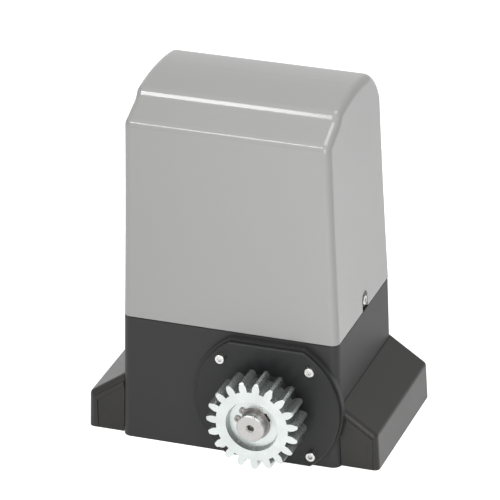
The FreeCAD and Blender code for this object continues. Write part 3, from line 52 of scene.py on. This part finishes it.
# ---------------------------------------------------------------- stage: floor, lamps and camera
# The motor stands on a white sweep under a strip lamp, two soft lamps and a pale sky.
# The camera looks down at the pinion side from the right with a long lens.
floor_span = 6.0
floor_tone = 0.92
floor_glow_level = 0.88
white = (1.0, 1.0, 1.0, 1.0)
sky_level = 0.11
camera_azimuth = math.radians(20.36)
camera_elevation = math.radians(26.45)
camera_roll = math.radians(-1.29)
camera_target = Vector((0.02334, -0.076, 0.20163))
camera_distance = 3.41927
camera_lens = 288.0


def seen_by_eye(tree):
    """A value of 1 for what the camera sees straight, in a mirror or through glass."""
    rays = tree.nodes.new("ShaderNodeLightPath")
    total = rays.outputs["Is Camera Ray"]
    for kind in ("Is Glossy Ray", "Is Transmission Ray"):
        add = tree.nodes.new("ShaderNodeMath")
        add.operation = "MAXIMUM"
        tree.links.new(total, add.inputs[0])
        tree.links.new(rays.outputs[kind], add.inputs[1])
        total = add.outputs["Value"]
    return total


world = bpy.data.worlds.new("pale_sky")
bpy.context.scene.world = world
world.use_nodes = True
sky = world.node_tree
sky_light = sky.nodes["Background"]
sky_light.inputs["Color"].default_value = white
sky_light.inputs["Strength"].default_value = sky_level
sky_seen = sky.nodes.new("ShaderNodeBackground")
sky_seen.inputs["Color"].default_value = white
sky_seen.inputs["Strength"].default_value = 1.0
sky_pick = sky.nodes.new("ShaderNodeMixShader")
sky.links.new(seen_by_eye(sky), sky_pick.inputs["Fac"])
sky.links.new(sky_light.outputs["Background"], sky_pick.inputs[1])
sky.links.new(sky_seen.outputs["Background"], sky_pick.inputs[2])
sky.links.new(sky_pick.outputs["Shader"], sky.nodes["World Output"].inputs["Surface"])


def soft_lamp(name, place, width, height, power):
    """A rectangular lamp aimed at the middle of the motor."""
    bpy.ops.object.light_add(type="AREA", location=place)
    lamp = bpy.context.object
    lamp.name = name
    lamp.data.shape = "RECTANGLE"
    lamp.data.size = width
    lamp.data.size_y = height
    lamp.data.energy = power
    lamp.rotation_euler = (Vector((0, 0, 0.2)) - Vector(place)).to_track_quat("-Z", "Y").to_euler()


soft_lamp("line_lamp", (-0.47, -1.05, 1.20), 1.2, 0.18, 10.6)
soft_lamp("key_lamp", (0.34, -0.60, 0.36), 0.26, 0.50, 1.95)
soft_lamp("top_lamp", (0.30, 0.10, 1.30), 0.6, 0.6, 6.0)

bpy.ops.mesh.primitive_plane_add(size=floor_span, location=(0, 0, cad_lowest.z - 0.0002))
floor = bpy.context.object
floor.name = "floor"
floor_paint = bpy.data.materials.new("floor_white")
floor_paint.use_nodes = True
tree = floor_paint.node_tree
tree.nodes["Principled BSDF"].inputs["Base Color"].default_value = (floor_tone, floor_tone, floor_tone, 1.0)
tree.nodes["Principled BSDF"].inputs["Roughness"].default_value = 0.9
# the sweep shows a little brighter than it is lit, and still takes the shadow
floor_glow = tree.nodes.new("ShaderNodeEmission")
floor_glow.inputs["Strength"].default_value = floor_glow_level
floor_sum = tree.nodes.new("ShaderNodeAddShader")
floor_pick = tree.nodes.new("ShaderNodeMixShader")
tree.links.new(tree.nodes["Principled BSDF"].outputs["BSDF"], floor_sum.inputs[0])
tree.links.new(floor_glow.outputs["Emission"], floor_sum.inputs[1])
tree.links.new(seen_by_eye(tree), floor_pick.inputs["Fac"])
tree.links.new(tree.nodes["Principled BSDF"].outputs["BSDF"], floor_pick.inputs[1])
tree.links.new(floor_sum.outputs["Shader"], floor_pick.inputs[2])
tree.links.new(floor_pick.outputs["Shader"], tree.nodes["Material Output"].inputs["Surface"])
floor.data.materials.append(floor_paint)

camera_data = bpy.data.cameras.new("camera")
camera_data.lens = camera_lens
camera_data.sensor_width = 36.0
camera_data.clip_start = 0.1
camera_data.clip_end = 50.0
camera = bpy.data.objects.new("camera", camera_data)
bpy.context.scene.collection.objects.link(camera)
bpy.context.scene.camera = camera
level = math.cos(camera_elevation)
back = Vector((math.sin(camera_azimuth) * level, -math.cos(camera_azimuth) * level, math.sin(camera_elevation)))
right = Vector((math.cos(camera_azimuth), math.sin(camera_azimuth), 0.0))
up = back.cross(right)
turned_right = right * math.cos(camera_roll) + up * math.sin(camera_roll)
turned_up = up * math.cos(camera_roll) - right * math.sin(camera_roll)
camera.matrix_world = Matrix((turned_right, turned_up, back)).transposed().to_4x4()
camera.location = camera_target + back * camera_distance
bpy.context.scene.view_settings.view_transform = "Standard"

# ---------------------------------------------------------------- top cover
# The hood is one injection moulding in silver-grey plastic with a smooth satin skin.
# It drops over the rim of the base and is held by a screw in a notch on each side.
silver = (0.372, 0.370, 0.366)
silver_shade = (0.352, 0.351, 0.348)


def new_group(name, inputs, outputs):
    """An empty shader node group with named sockets, and its two end nodes."""
    group = bpy.data.node_groups.new(name, "ShaderNodeTree")
    kinds = {"color": "NodeSocketColor", "value": "NodeSocketFloat", "vector": "NodeSocketVector"}
    for label, kind in inputs:
        group.interface.new_socket(label, in_out="INPUT", socket_type=kinds[kind])
    for label, kind in outputs:
        group.interface.new_socket(label, in_out="OUTPUT", socket_type=kinds[kind])
    return group, group.nodes.new("NodeGroupInput"), group.nodes.new("NodeGroupOutput")


def node(tree, kind, **settings):
    """A node with its settings, and its inputs by number where a key starts with i."""
    made = tree.nodes.new(kind)
    for key, value in settings.items():
        if key[0] == "i" and key[1:].isdigit():
            made.inputs[int(key[1:])].default_value = value
        else:
            setattr(made, key, value)
    return made


def wire(tree, *pairs):
    """Link each output socket to its input."""
    for source, target in pairs:
        tree.links.new(source, target)


# skin: slow patches that shift the colour and the gloss, and a fine grain for the bump
skin, skin_in, skin_out = new_group(
    "moulded_skin",
    [("Colour", "color"), ("Shade", "color"), ("Patch Scale", "value"), ("Grain Scale", "value"),
     ("Roughness", "value"), ("Roughness Spread", "value")],
    [("Colour", "color"), ("Roughness", "value"), ("Grain", "value")])
place = node(skin, "ShaderNodeTexCoord").outputs["Object"]
patches = node(skin, "ShaderNodeTexNoise", i3=3.0)
grain = node(skin, "ShaderNodeTexNoise", i3=2.0)
blend_colours = node(skin, "ShaderNodeMix", data_type="RGBA")
gloss = node(skin, "ShaderNodeMath", operation="MULTIPLY_ADD")
centred = node(skin, "ShaderNodeMath", operation="SUBTRACT", i1=0.5)
wire(skin,
     (place, patches.inputs["Vector"]), (place, grain.inputs["Vector"]),
     (skin_in.outputs["Patch Scale"], patches.inputs["Scale"]),
     (skin_in.outputs["Grain Scale"], grain.inputs["Scale"]),
     (patches.outputs["Fac"], blend_colours.inputs["Factor"]),
     (skin_in.outputs["Colour"], blend_colours.inputs[6]), (skin_in.outputs["Shade"], blend_colours.inputs[7]),
     (blend_colours.outputs[2], skin_out.inputs["Colour"]),
     (patches.outputs["Fac"], centred.inputs[0]),
     (centred.outputs[0], gloss.inputs[0]), (skin_in.outputs["Roughness Spread"], gloss.inputs[1]),
     (skin_in.outputs["Roughness"], gloss.inputs[2]),
     (gloss.outputs[0], skin_out.inputs["Roughness"]), (grain.outputs["Fac"], skin_out.inputs["Grain"]))


def finish(name, colour, shade, roughness, spread, patch_scale, grain_scale, bump, metallic=0.0, bump_reach=0.0005,
           specular=0.5):
    """A material on the skin group: two colours, gloss and a grain of a given size and depth."""
    made = bpy.data.materials.new(name)
    made.use_nodes = True
    tree = made.node_tree
    shader = tree.nodes["Principled BSDF"]
    group = node(tree, "ShaderNodeGroup", node_tree=skin)
    for label, value in (("Colour", (*colour, 1.0)), ("Shade", (*shade, 1.0)), ("Patch Scale", patch_scale),
                         ("Grain Scale", grain_scale), ("Roughness", roughness), ("Roughness Spread", spread)):
        group.inputs[label].default_value = value
    relief = node(tree, "ShaderNodeBump")
    relief.name = "relief"
    relief.inputs["Strength"].default_value = bump
    relief.inputs["Distance"].default_value = bump_reach
    shader.inputs["Metallic"].default_value = metallic
    shader.inputs["Specular IOR Level"].default_value = specular
    wire(tree, (group.outputs["Colour"], shader.inputs["Base Color"]),
         (group.outputs["Roughness"], shader.inputs["Roughness"]),
         (group.outputs["Grain"], relief.inputs["Height"]), (relief.outputs["Normal"], shader.inputs["Normal"]))
    return made


def dress(material, *names):
    """Give CAD nodes a material in every slot that they have."""
    for name in names:
        mesh = nodes[name].data
        if not mesh.materials:
            mesh.materials.append(material)
        for number in range(len(mesh.materials)):
            mesh.materials[number] = material


silver_plastic = finish("silver_plastic", silver, silver_shade, 0.38, 0.05, 9.0, 900.0, 0.05, specular=0.12)
shader = silver_plastic.node_tree.nodes["Principled BSDF"]
shader.inputs["Coat Weight"].default_value = 0.75
shader.inputs["Coat Roughness"].default_value = 0.09
dress(silver_plastic, "top_cover")

# ---------------------------------------------------------------- base and its flange plate
# Die-cast aluminium under a matt black powder coat with a fine pebbled surface.
# The plate is a separate coated casting, screwed on over the front bearing.
coat_black = (0.024, 0.024, 0.024)
coat_grey = (0.030, 0.030, 0.030)
black_coat = finish("black_coat", coat_black, coat_grey, 0.52, 0.10, 14.0, 1400.0, 0.22, specular=0.3)
plate_coat = finish("plate_coat", (0.017, 0.017, 0.018), (0.024, 0.024, 0.025), 0.42, 0.12, 22.0, 1600.0, 0.15,
                    specular=0.25)
dress(black_coat, "base_housing")
dress(plate_coat, "flange_plate")

# ---------------------------------------------------------------- foot covers, lever, tray and other black mouldings
# Fine-grained black plastic. The foot covers clip over the feet and have a slight sheen where light glances.
foot_plastic = finish("foot_plastic", (0.024, 0.023, 0.022), (0.031, 0.030, 0.028), 0.34, 0.08, 16.0, 1100.0, 0.16,
                      specular=0.25)
inner_plastic = finish("inner_plastic", (0.030, 0.030, 0.031), (0.038, 0.038, 0.038), 0.45, 0.10, 30.0, 1500.0, 0.18)
dress(foot_plastic, "foot_cover_left", "foot_cover_right")
dress(inner_plastic, "release_lever", "release_tray", "board_bracket", "relays", "limit_sensor", "fuse_holder")

# ---------------------------------------------------------------- turned and plated steel
# The pinion is hobbed and bright zinc plated; the shaft end is turned and left bare.
# Screws are zinc plated; the retaining ring and the levelling screws are dark steel.
rings, rings_in, rings_out = new_group(
    "turning_marks",
    [("Centre", "vector"), ("Plane", "vector"), ("Rings", "value")],
    [("Marks", "value")])
place = node(rings, "ShaderNodeTexCoord").outputs["Object"]
from_centre = node(rings, "ShaderNodeVectorMath", operation="SUBTRACT")
in_plane = node(rings, "ShaderNodeVectorMath", operation="MULTIPLY")
radius = node(rings, "ShaderNodeVectorMath", operation="LENGTH")
count = node(rings, "ShaderNodeMath", operation="MULTIPLY")
lines = node(rings, "ShaderNodeTexNoise", noise_dimensions="1D")
lines.inputs["Scale"].default_value = 1.0
lines.inputs["Detail"].default_value = 3.0
wire(rings,
     (place, from_centre.inputs[0]), (rings_in.outputs["Centre"], from_centre.inputs[1]),
     (from_centre.outputs["Vector"], in_plane.inputs[0]), (rings_in.outputs["Plane"], in_plane.inputs[1]),
     (in_plane.outputs["Vector"], radius.inputs[0]), (radius.outputs["Value"], count.inputs[0]),
     (rings_in.outputs["Rings"], count.inputs[1]), (count.outputs[0], lines.inputs["W"]),
     (lines.outputs["Fac"], rings_out.inputs["Marks"]))


def turned(material, centre, plane, per_metre, strength, tone=0.0):
    """Add turning marks about an axis to a material's bump, and to its colour by a share."""
    tree = material.node_tree
    shader = tree.nodes["Principled BSDF"]
    group = node(tree, "ShaderNodeGroup", node_tree=rings)
    group.inputs["Centre"].default_value = centre
    group.inputs["Plane"].default_value = plane
    group.inputs["Rings"].default_value = per_metre
    cut = node(tree, "ShaderNodeBump")
    cut.inputs["Strength"].default_value = strength
    cut.inputs["Distance"].default_value = 0.0002
    wire(tree, (group.outputs["Marks"], cut.inputs["Height"]),
         (tree.nodes["relief"].outputs["Normal"], cut.inputs["Normal"]),
         (cut.outputs["Normal"], shader.inputs["Normal"]))
    if tone:
        base = shader.inputs["Base Color"].links[0].from_socket
        darker = node(tree, "ShaderNodeMix", data_type="RGBA", blend_type="MULTIPLY")
        darker.inputs["Factor"].default_value = tone
        wire(tree, (base, darker.inputs[6]), (group.outputs["Marks"], darker.inputs[7]),
             (darker.outputs[2], shader.inputs["Base Color"]))
    return material


shaft_low, shaft_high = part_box("output_shaft")
shaft_centre = ((shaft_low.x + shaft_high.x) / 2, 0.0, (shaft_low.z + shaft_high.z) / 2)
across_y = (1.0, 0.0, 1.0)
zinc = turned(finish("zinc_steel", (0.55, 0.58, 0.57), (0.42, 0.45, 0.44), 0.28, 0.16, 60.0, 700.0, 0.12, 0.9),
              shaft_centre, across_y, 900.0, 0.10)
shaft_steel = turned(finish("turned_steel", (0.45, 0.44, 0.43), (0.38, 0.37, 0.36), 0.28, 0.10, 80.0, 1500.0, 0.05,
                            1.0),
                     shaft_centre, across_y, 2600.0, 0.35, 0.25)
screw_steel = finish("screw_steel", (0.58, 0.58, 0.57), (0.48, 0.48, 0.47), 0.30, 0.12, 200.0, 2500.0, 0.05, 1.0)
spring_steel = finish("spring_steel", (0.16, 0.155, 0.15), (0.26, 0.25, 0.24), 0.34, 0.10, 150.0, 2500.0, 0.08, 1.0)
dress(zinc, "pinion")
dress(shaft_steel, "output_shaft", "pinion_key", "wheel_key", "worm_shaft", "release_pin")
dress(screw_steel, "flange_screws", "cover_screws", "gearcase_screws", "motor_bolts", "deck_screws", "board_screws",
      "foot_screws", "lock_barrel")
dress(spring_steel, "pinion_circlip", "levelling_screws")

# ---------------------------------------------------------------- bearings, worm wheel and seals
# Ground bearing rings with shields, and black rubber. The plug and earth screw share the bronze of the worm wheel.
bearing_steel = finish("bearing_steel", (0.66, 0.66, 0.66), (0.58, 0.58, 0.58), 0.20, 0.06, 120.0, 2500.0, 0.04, 1.0)
bronze = finish("bronze", (0.60, 0.36, 0.13), (0.50, 0.30, 0.11), 0.32, 0.10, 70.0, 1800.0, 0.10, 1.0)
rubber = finish("rubber", (0.022, 0.022, 0.022), (0.030, 0.030, 0.029), 0.62, 0.10, 60.0, 1500.0, 0.15)
dress(bearing_steel, "bearing_front", "bearing_rear", "worm_bearing_lower", "worm_bearing_upper", "rotor_bearing_top")
dress(bronze, "worm_wheel", "oil_plug", "earth_screw")
dress(rubber, "shaft_seal", "cable_grommet", "rim_gasket")

# ---------------------------------------------------------------- gearcase, feet and motor castings
# Bare aluminium, sand-blasted after casting, and an extruded finned motor body.
bare_aluminium = finish("bare_aluminium", (0.56, 0.57, 0.58), (0.48, 0.49, 0.50), 0.46, 0.12, 40.0, 1300.0, 0.30, 0.9)
dress(bare_aluminium, "gearcase", "gearcase_cover", "fixing_feet", "motor_flange", "motor_housing", "motor_cap")

# ---------------------------------------------------------------- windings and cores
# Stacked electrical steel seen edge-on as fine lines, and varnished copper end turns bound into rings.
laminated_steel = turned(finish("laminated_steel", (0.34, 0.34, 0.35), (0.25, 0.25, 0.26), 0.42, 0.10, 60.0, 1200.0,
                                0.10, 0.9), (0.0, 0.0, 0.0), (0.0, 0.0, 1.0), 2000.0, 0.35, 0.35)
rotor_low, rotor_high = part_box("rotor_core")
rotor_axis = ((rotor_low.x + rotor_high.x) / 2, (rotor_low.y + rotor_high.y) / 2, 0.0)
enamelled_copper = turned(finish("enamelled_copper", (0.56, 0.21, 0.075), (0.40, 0.13, 0.045), 0.26, 0.12, 90.0, 1600.0,
                                 0.12, 0.8), rotor_axis, (1.0, 1.0, 0.0), 1400.0, 0.5, 0.45)
dress(laminated_steel, "stator_core", "rotor_core", "transformer")
dress(enamelled_copper, "stator_windings")

# ---------------------------------------------------------------- inside of the base and the deck
# The floor carries the same coat as the walls; the posts are bare aluminium.
# Deck and capacitor strap are bright zinc-plated sheet with the soft spangle of the plating.
dress(black_coat, "base_floor")
dress(bare_aluminium, "deck_posts")
sheet_steel = finish("sheet_steel", (0.62, 0.63, 0.62), (0.50, 0.51, 0.51), 0.34, 0.18, 45.0, 1800.0, 0.06, 1.0)
dress(sheet_steel, "deck_plate", "capacitor_clamp")

# ---------------------------------------------------------------- circuit board and its large parts
# Glass-fibre board under green solder mask, through which the copper tracks show a shade lighter.
# Terminals are moulded nylon, the run capacitor has a grey can and the small ones a dark sleeve.
mask_green = finish("board_green", (0.010, 0.090, 0.032), (0.014, 0.110, 0.040), 0.30, 0.06, 30.0, 900.0, 0.05)
tree = mask_green.node_tree
shader = tree.nodes["Principled BSDF"]
parted = node(tree, "ShaderNodeSeparateXYZ")
flat = node(tree, "ShaderNodeCombineXYZ")
tracks = node(tree, "ShaderNodeTexBrick", offset=0.37, squash=0.6, squash_frequency=3)
tracks.inputs["Scale"].default_value = 120.0
tracks.inputs["Mortar Size"].default_value = 0.055
tracks.inputs["Mortar Smooth"].default_value = 0.1
tracks.inputs["Brick Width"].default_value = 1.1
tracks.inputs["Row Height"].default_value = 0.34
tracks.inputs["Color1"].default_value = (0.0, 0.0, 0.0, 1.0)
tracks.inputs["Color2"].default_value = (0.0, 0.0, 0.0, 1.0)
tracks.inputs["Mortar"].default_value = (1.0, 1.0, 1.0, 1.0)
over_tracks = node(tree, "ShaderNodeMix", data_type="RGBA")
over_tracks.inputs[7].default_value = (0.035, 0.200, 0.075, 1.0)
under = shader.inputs["Base Color"].links[0].from_socket
wire(tree, (node(tree, "ShaderNodeTexCoord").outputs["Object"], parted.inputs[0]),
     (parted.outputs["X"], flat.inputs["X"]), (parted.outputs["Z"], flat.inputs["Y"]),
     (flat.outputs["Vector"], tracks.inputs["Vector"]), (under, over_tracks.inputs[6]),
     (tracks.outputs["Fac"], over_tracks.inputs["Factor"]), (over_tracks.outputs[2], shader.inputs["Base Color"]))
terminal_green = finish("terminal_green", (0.035, 0.230, 0.080), (0.050, 0.270, 0.100), 0.38, 0.08, 60.0, 1400.0, 0.10)
can_grey = finish("can_grey", (0.60, 0.60, 0.58), (0.53, 0.53, 0.51), 0.34, 0.08, 26.0, 1300.0, 0.08)
sleeve = finish("capacitor_sleeve", (0.020, 0.024, 0.045), (0.030, 0.034, 0.060), 0.24, 0.06, 90.0, 1800.0, 0.05)
dress(mask_green, "circuit_board")
dress(terminal_green, "terminal_blocks")
dress(can_grey, "run_capacitor")
dress(sleeve, "board_capacitors")

# ---------------------------------------------------------------- terminal screws
# One slotted clamp screw stands over each wire way of the four terminal blocks, at a 5 mm pitch.
board_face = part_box("circuit_board")[1].y
terminal_low, terminal_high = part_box("terminal_blocks")
screw_pitch = 0.005
screw_radius = 0.0016
screw_rise = 0.0007
slot_width = 0.0005
terminal_spans = ((-0.068, -0.043), (-0.040, 0.0), (0.004, 0.034), (0.038, 0.068))


def start_piece(name):
    """Name the primitive just added and open it for editing with nothing selected."""
    piece = bpy.context.object
    piece.name = name
    piece.data.name = name
    bpy.ops.object.mode_set(mode="EDIT")
    bpy.ops.mesh.select_mode(type="FACE")
    bpy.ops.mesh.select_all(action="DESELECT")
    return piece


def pick_faces(piece, wanted):
    """Select the faces whose centre and normal pass a test, in edit mode."""
    bpy.ops.mesh.select_all(action="DESELECT")
    bpy.ops.object.mode_set(mode="OBJECT")
    for face in piece.data.polygons:
        face.select = bool(wanted(face.center, face.normal))
    bpy.ops.object.mode_set(mode="EDIT")


def settle(piece):
    """Leave edit mode and put the piece's place into its mesh."""
    bpy.ops.object.mode_set(mode="OBJECT")
    bpy.ops.object.select_all(action="DESELECT")
    piece.select_set(True)
    bpy.context.view_layer.objects.active = piece
    bpy.ops.object.transform_apply(location=True, rotation=True, scale=True)


def bevel_all(piece, width, segments=2):
    """Round every edge over 40 degrees with an applied bevel."""
    bevel = piece.modifiers.new("rounded", "BEVEL")
    bevel.width = width
    bevel.segments = segments
    bevel.limit_method = "ANGLE"
    bevel.angle_limit = math.radians(40)
    bpy.context.view_layer.objects.active = piece
    bpy.ops.object.modifier_apply(modifier=bevel.name)


def row_of(piece, name, places):
    """Copy a finished piece to each place, each with its own mesh, and join them into one."""
    copies = []
    for place in places:
        mesh = piece.data.copy()
        mesh.transform(Matrix.Translation(Vector(place)))
        copy = bpy.data.objects.new(name, mesh)
        bpy.context.scene.collection.objects.link(copy)
        copies.append(copy)
    bpy.data.objects.remove(piece, do_unlink=True)
    bpy.ops.object.select_all(action="DESELECT")
    for copy in copies:
        copy.select_set(True)
    bpy.context.view_layer.objects.active = copies[0]
    if len(copies) > 1:
        bpy.ops.object.join()
    joined = bpy.context.view_layer.objects.active
    joined.name = name
    joined.data.name = name
    return joined


def hand_over(piece, material, body="root"):
    """Give a new piece its material and the body it rides on."""
    piece.data.materials.clear()
    piece.data.materials.append(material)
    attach(piece, body)


bpy.ops.object.select_all(action="DESELECT")
bpy.ops.mesh.primitive_cylinder_add(vertices=20, radius=screw_radius, depth=screw_rise,
                                    rotation=(math.radians(-90), 0, 0))
screw = start_piece("terminal_screws")
pick_faces(screw, lambda centre, normal: abs(normal.z) > 0.9)
bpy.ops.mesh.inset(thickness=screw_radius * 0.12, depth=0.0001)
settle(screw)
bpy.ops.mesh.primitive_cube_add(size=1.0, location=(0, screw_rise * 0.75, 0))
slot_cutter = bpy.context.object
slot_cutter.scale = (slot_width, screw_rise, 0.0060)
bpy.ops.object.transform_apply(scale=True)
slot_cut = screw.modifiers.new("slot", "BOOLEAN")
slot_cut.operation = "DIFFERENCE"
slot_cut.object = slot_cutter
bpy.context.view_layer.objects.active = screw
bpy.ops.object.modifier_apply(modifier=slot_cut.name)
bpy.data.objects.remove(slot_cutter, do_unlink=True)
terminal_places = []
for left, right in terminal_spans:
    for number in range(round((right - left) / screw_pitch)):
        terminal_places.append((left + screw_pitch * (number + 0.5), terminal_high.y - screw_rise * 0.35,
                                (terminal_low.z + terminal_high.z) / 2))
hand_over(row_of(screw, "terminal_screws", terminal_places), screw_steel)

# ---------------------------------------------------------------- chips and their legs
# Moulded black packages on rows of bent tinned legs: one wide controller and two narrow drivers.
chip_rise = 0.0035
chip_gap = 0.0007
leg_level = 0.0019
leg_overhang = 0.0006
for name, middle_x, middle_z, width, height, legs in (
        ("controller_chip", -0.014, 0.157, 0.0300, 0.0120, 12), ("driver_chip_left", -0.046, 0.157, 0.0100, 0.0070, 4),
        ("driver_chip_right", 0.020, 0.157, 0.0100, 0.0070, 4)):
    bpy.ops.object.select_all(action="DESELECT")
    bpy.ops.mesh.primitive_cube_add(size=1.0, location=(middle_x, board_face + chip_gap + chip_rise / 2, middle_z))
    bpy.context.object.scale = (width, chip_rise, height)
    bpy.ops.object.transform_apply(scale=True, location=False)
    chip = start_piece(name)
    # a narrow rim stays round the front face, and the field inside it lies 0.2 mm lower
    pick_faces(chip, lambda centre, normal: normal.y > 0.9)
    bpy.ops.mesh.inset(thickness=0.0004, depth=0.0)
    pick_faces(chip, lambda centre, normal: normal.y > 0.9 and abs(centre.x) < 0.001 and abs(centre.z) < 0.001)
    bpy.ops.mesh.inset(thickness=0.0006, depth=-0.0002)
    settle(chip)
    bevel_all(chip, 0.0003)
    hand_over(chip, inner_plastic)

    bpy.ops.object.select_all(action="DESELECT")
    bpy.ops.mesh.primitive_cube_add(size=1.0, location=(0, 0, 0))
    bpy.context.object.scale = (0.0010, 0.0004, 0.0018)
    bpy.ops.object.transform_apply(scale=True)
    leg = start_piece(name + "_legs")
    pick_faces(leg, lambda centre, normal: normal.z > 0.9)
    bpy.ops.mesh.extrude_region_move(TRANSFORM_OT_translate={"value": (0, -0.0004, 0.0005)})
    bpy.ops.mesh.extrude_region_move(TRANSFORM_OT_translate={"value": (0, -0.0012, 0.0001)})
    settle(leg)
    leg_z = middle_z + height / 2 + leg_overhang
    spots = [(middle_x + width * ((number + 0.5) / legs - 0.5), board_face + leg_level, leg_z)
             for number in range(legs)]
    upper = row_of(leg, name + "_legs", spots)
    mirror = upper.modifiers.new("other_side", "MIRROR")
    mirror.use_axis = (False, False, True)
    pivot = bpy.data.objects.new("pivot", None)
    bpy.context.scene.collection.objects.link(pivot)
    pivot.location = (0, 0, middle_z)
    bpy.context.view_layer.update()
    mirror.mirror_object = pivot
    bpy.context.view_layer.objects.active = upper
    bpy.ops.object.modifier_apply(modifier=mirror.name)
    bpy.data.objects.remove(pivot, do_unlink=True)
    hand_over(upper, screw_steel)

# ---------------------------------------------------------------- resistors
# A row of small film resistors with swollen ends, lying flat on the board over their bent leads.
resistor_beige = finish("resistor_beige", (0.42, 0.30, 0.16), (0.36, 0.25, 0.13), 0.34, 0.08, 200.0, 2500.0, 0.05)
resistor_count = 9
resistor_pitch = 0.0042
resistor_start = -0.034
resistor_level = 0.1870
bpy.ops.object.select_all(action="DESELECT")
bpy.ops.mesh.primitive_cylinder_add(vertices=16, radius=0.0009, depth=0.0034)
resistor = start_piece("resistors")
for side in (1, -1):
    pick_faces(resistor, lambda centre, normal: normal.z * side > 0.9)
    bpy.ops.mesh.extrude_region_move(TRANSFORM_OT_translate={"value": (0, 0, 0.0004 * side)})
    bpy.ops.transform.resize(value=(1.30, 1.30, 1.0))
    bpy.ops.mesh.extrude_region_move(TRANSFORM_OT_translate={"value": (0, 0, 0.0008 * side)})
    bpy.ops.mesh.extrude_region_move(TRANSFORM_OT_translate={"value": (0, 0, 0.0003 * side)})
    bpy.ops.transform.resize(value=(0.65, 0.65, 1.0))
    bpy.ops.mesh.inset(thickness=0.00045)
    bpy.ops.mesh.extrude_region_move(TRANSFORM_OT_translate={"value": (0, 0, 0.0012 * side)})
    bpy.ops.mesh.extrude_region_move(TRANSFORM_OT_translate={"value": (0, -0.0008, 0.0004 * side)})
settle(resistor)
resistor_places = [(resistor_start + resistor_pitch * number, board_face + 0.0013, resistor_level)
                   for number in range(resistor_count)]
resistors = row_of(resistor, "resistors", resistor_places)
bpy.ops.object.shade_smooth_by_angle(angle=math.radians(35))
hand_over(resistors, resistor_beige)

# ---------------------------------------------------------------- status lamps
# Three small red lamps with domed lenses, in a row over the terminals.
lamp_red = finish("lamp_red", (0.55, 0.03, 0.02), (0.62, 0.05, 0.03), 0.12, 0.02, 60.0, 900.0, 0.02)
lamp_count = 3
lamp_pitch = 0.008
lamp_start = 0.044
lamp_level = 0.158
bpy.ops.object.select_all(action="DESELECT")
bpy.ops.mesh.primitive_cylinder_add(vertices=24, radius=0.0018, depth=0.0010, location=(0, 0.0005, 0),
                                    rotation=(math.radians(-90), 0, 0))
dome = start_piece("status_lamps")
pick_faces(dome, lambda centre, normal: normal.z > 0.9)
bpy.ops.mesh.inset(thickness=0.0003)
for rise, shrink in ((0.0022, 1.0), (0.0007, 0.88), (0.0005, 0.68), (0.0002, 0.40)):
    bpy.ops.mesh.extrude_region_move(TRANSFORM_OT_translate={"value": (0, rise, 0)})
    bpy.ops.transform.resize(value=(shrink, 1.0, shrink))
settle(dome)
lamp_places = [(lamp_start + lamp_pitch * number, board_face, lamp_level) for number in range(lamp_count)]
lamps = row_of(dome, "status_lamps", lamp_places)
bpy.ops.object.shade_smooth_by_angle(angle=math.radians(50))
hand_over(lamps, lamp_red)

# ---------------------------------------------------------------- borders of the foot covers
# A raised border is moulded on the front end of each foot cover, along its slope and its outer edge.
# It is the same plastic as the cover and comes off with it.
border_width = 0.0045
border_rise = 0.0015
border_in = border_width * 0.955
border_down = border_width * 0.556
end_face_y = -0.0700
slope_corner = Vector((0.1293, end_face_y, 0.0318))
slope_normal = (0.5673, 0.0, 0.8235)
foot_edge = 0.1305
border_foot = 0.0012


def end_prism(inner_x, depth, shift):
    """A block as wide as the end face, cut off along the slope, moved in from both edges by shift."""
    top = 0.0560
    bpy.ops.object.select_all(action="DESELECT")
    bpy.ops.mesh.primitive_cube_add(size=1.0, location=((inner_x + foot_edge) / 2, end_face_y - depth / 2 + 0.0003,
                                                        (border_foot + top) / 2))
    bpy.context.object.scale = (foot_edge - inner_x, depth, top - border_foot)
    bpy.ops.object.transform_apply(location=True, scale=True)
    prism = start_piece("end_prism")
    bpy.ops.mesh.select_all(action="SELECT")
    bpy.ops.mesh.bisect(plane_co=slope_corner, plane_no=slope_normal, clear_outer=True, use_fill=True)
    bpy.ops.mesh.select_all(action="SELECT")
    bpy.ops.transform.translate(value=shift)
    bpy.ops.mesh.normals_make_consistent(inside=False)
    settle(prism)
    return prism


# the right border stops short of the base's round boss, which reaches 105.5 mm from the middle
for side, inner_x in (("right", 0.1061), ("left", 0.1003)):
    border = end_prism(inner_x, border_rise, (0.0, 0.0, 0.0))
    inner = end_prism(inner_x, border_rise * 4, (-border_in, border_rise, -border_down))
    cut_out = border.modifiers.new("inside", "BOOLEAN")
    cut_out.operation = "DIFFERENCE"
    cut_out.object = inner
    bpy.context.view_layer.objects.active = border
    bpy.ops.object.modifier_apply(modifier=cut_out.name)
    bpy.data.objects.remove(inner, do_unlink=True)
    bevel_all(border, 0.0006, 3)
    if side == "left":
        border.data.transform(Matrix.Scale(-1.0, 4, (1.0, 0.0, 0.0)))
        border.data.flip_normals()
    border.name = "foot_border_" + side
    border.data.name = border.name
    hand_over(border, foot_plastic, "foot_cap_" + side)
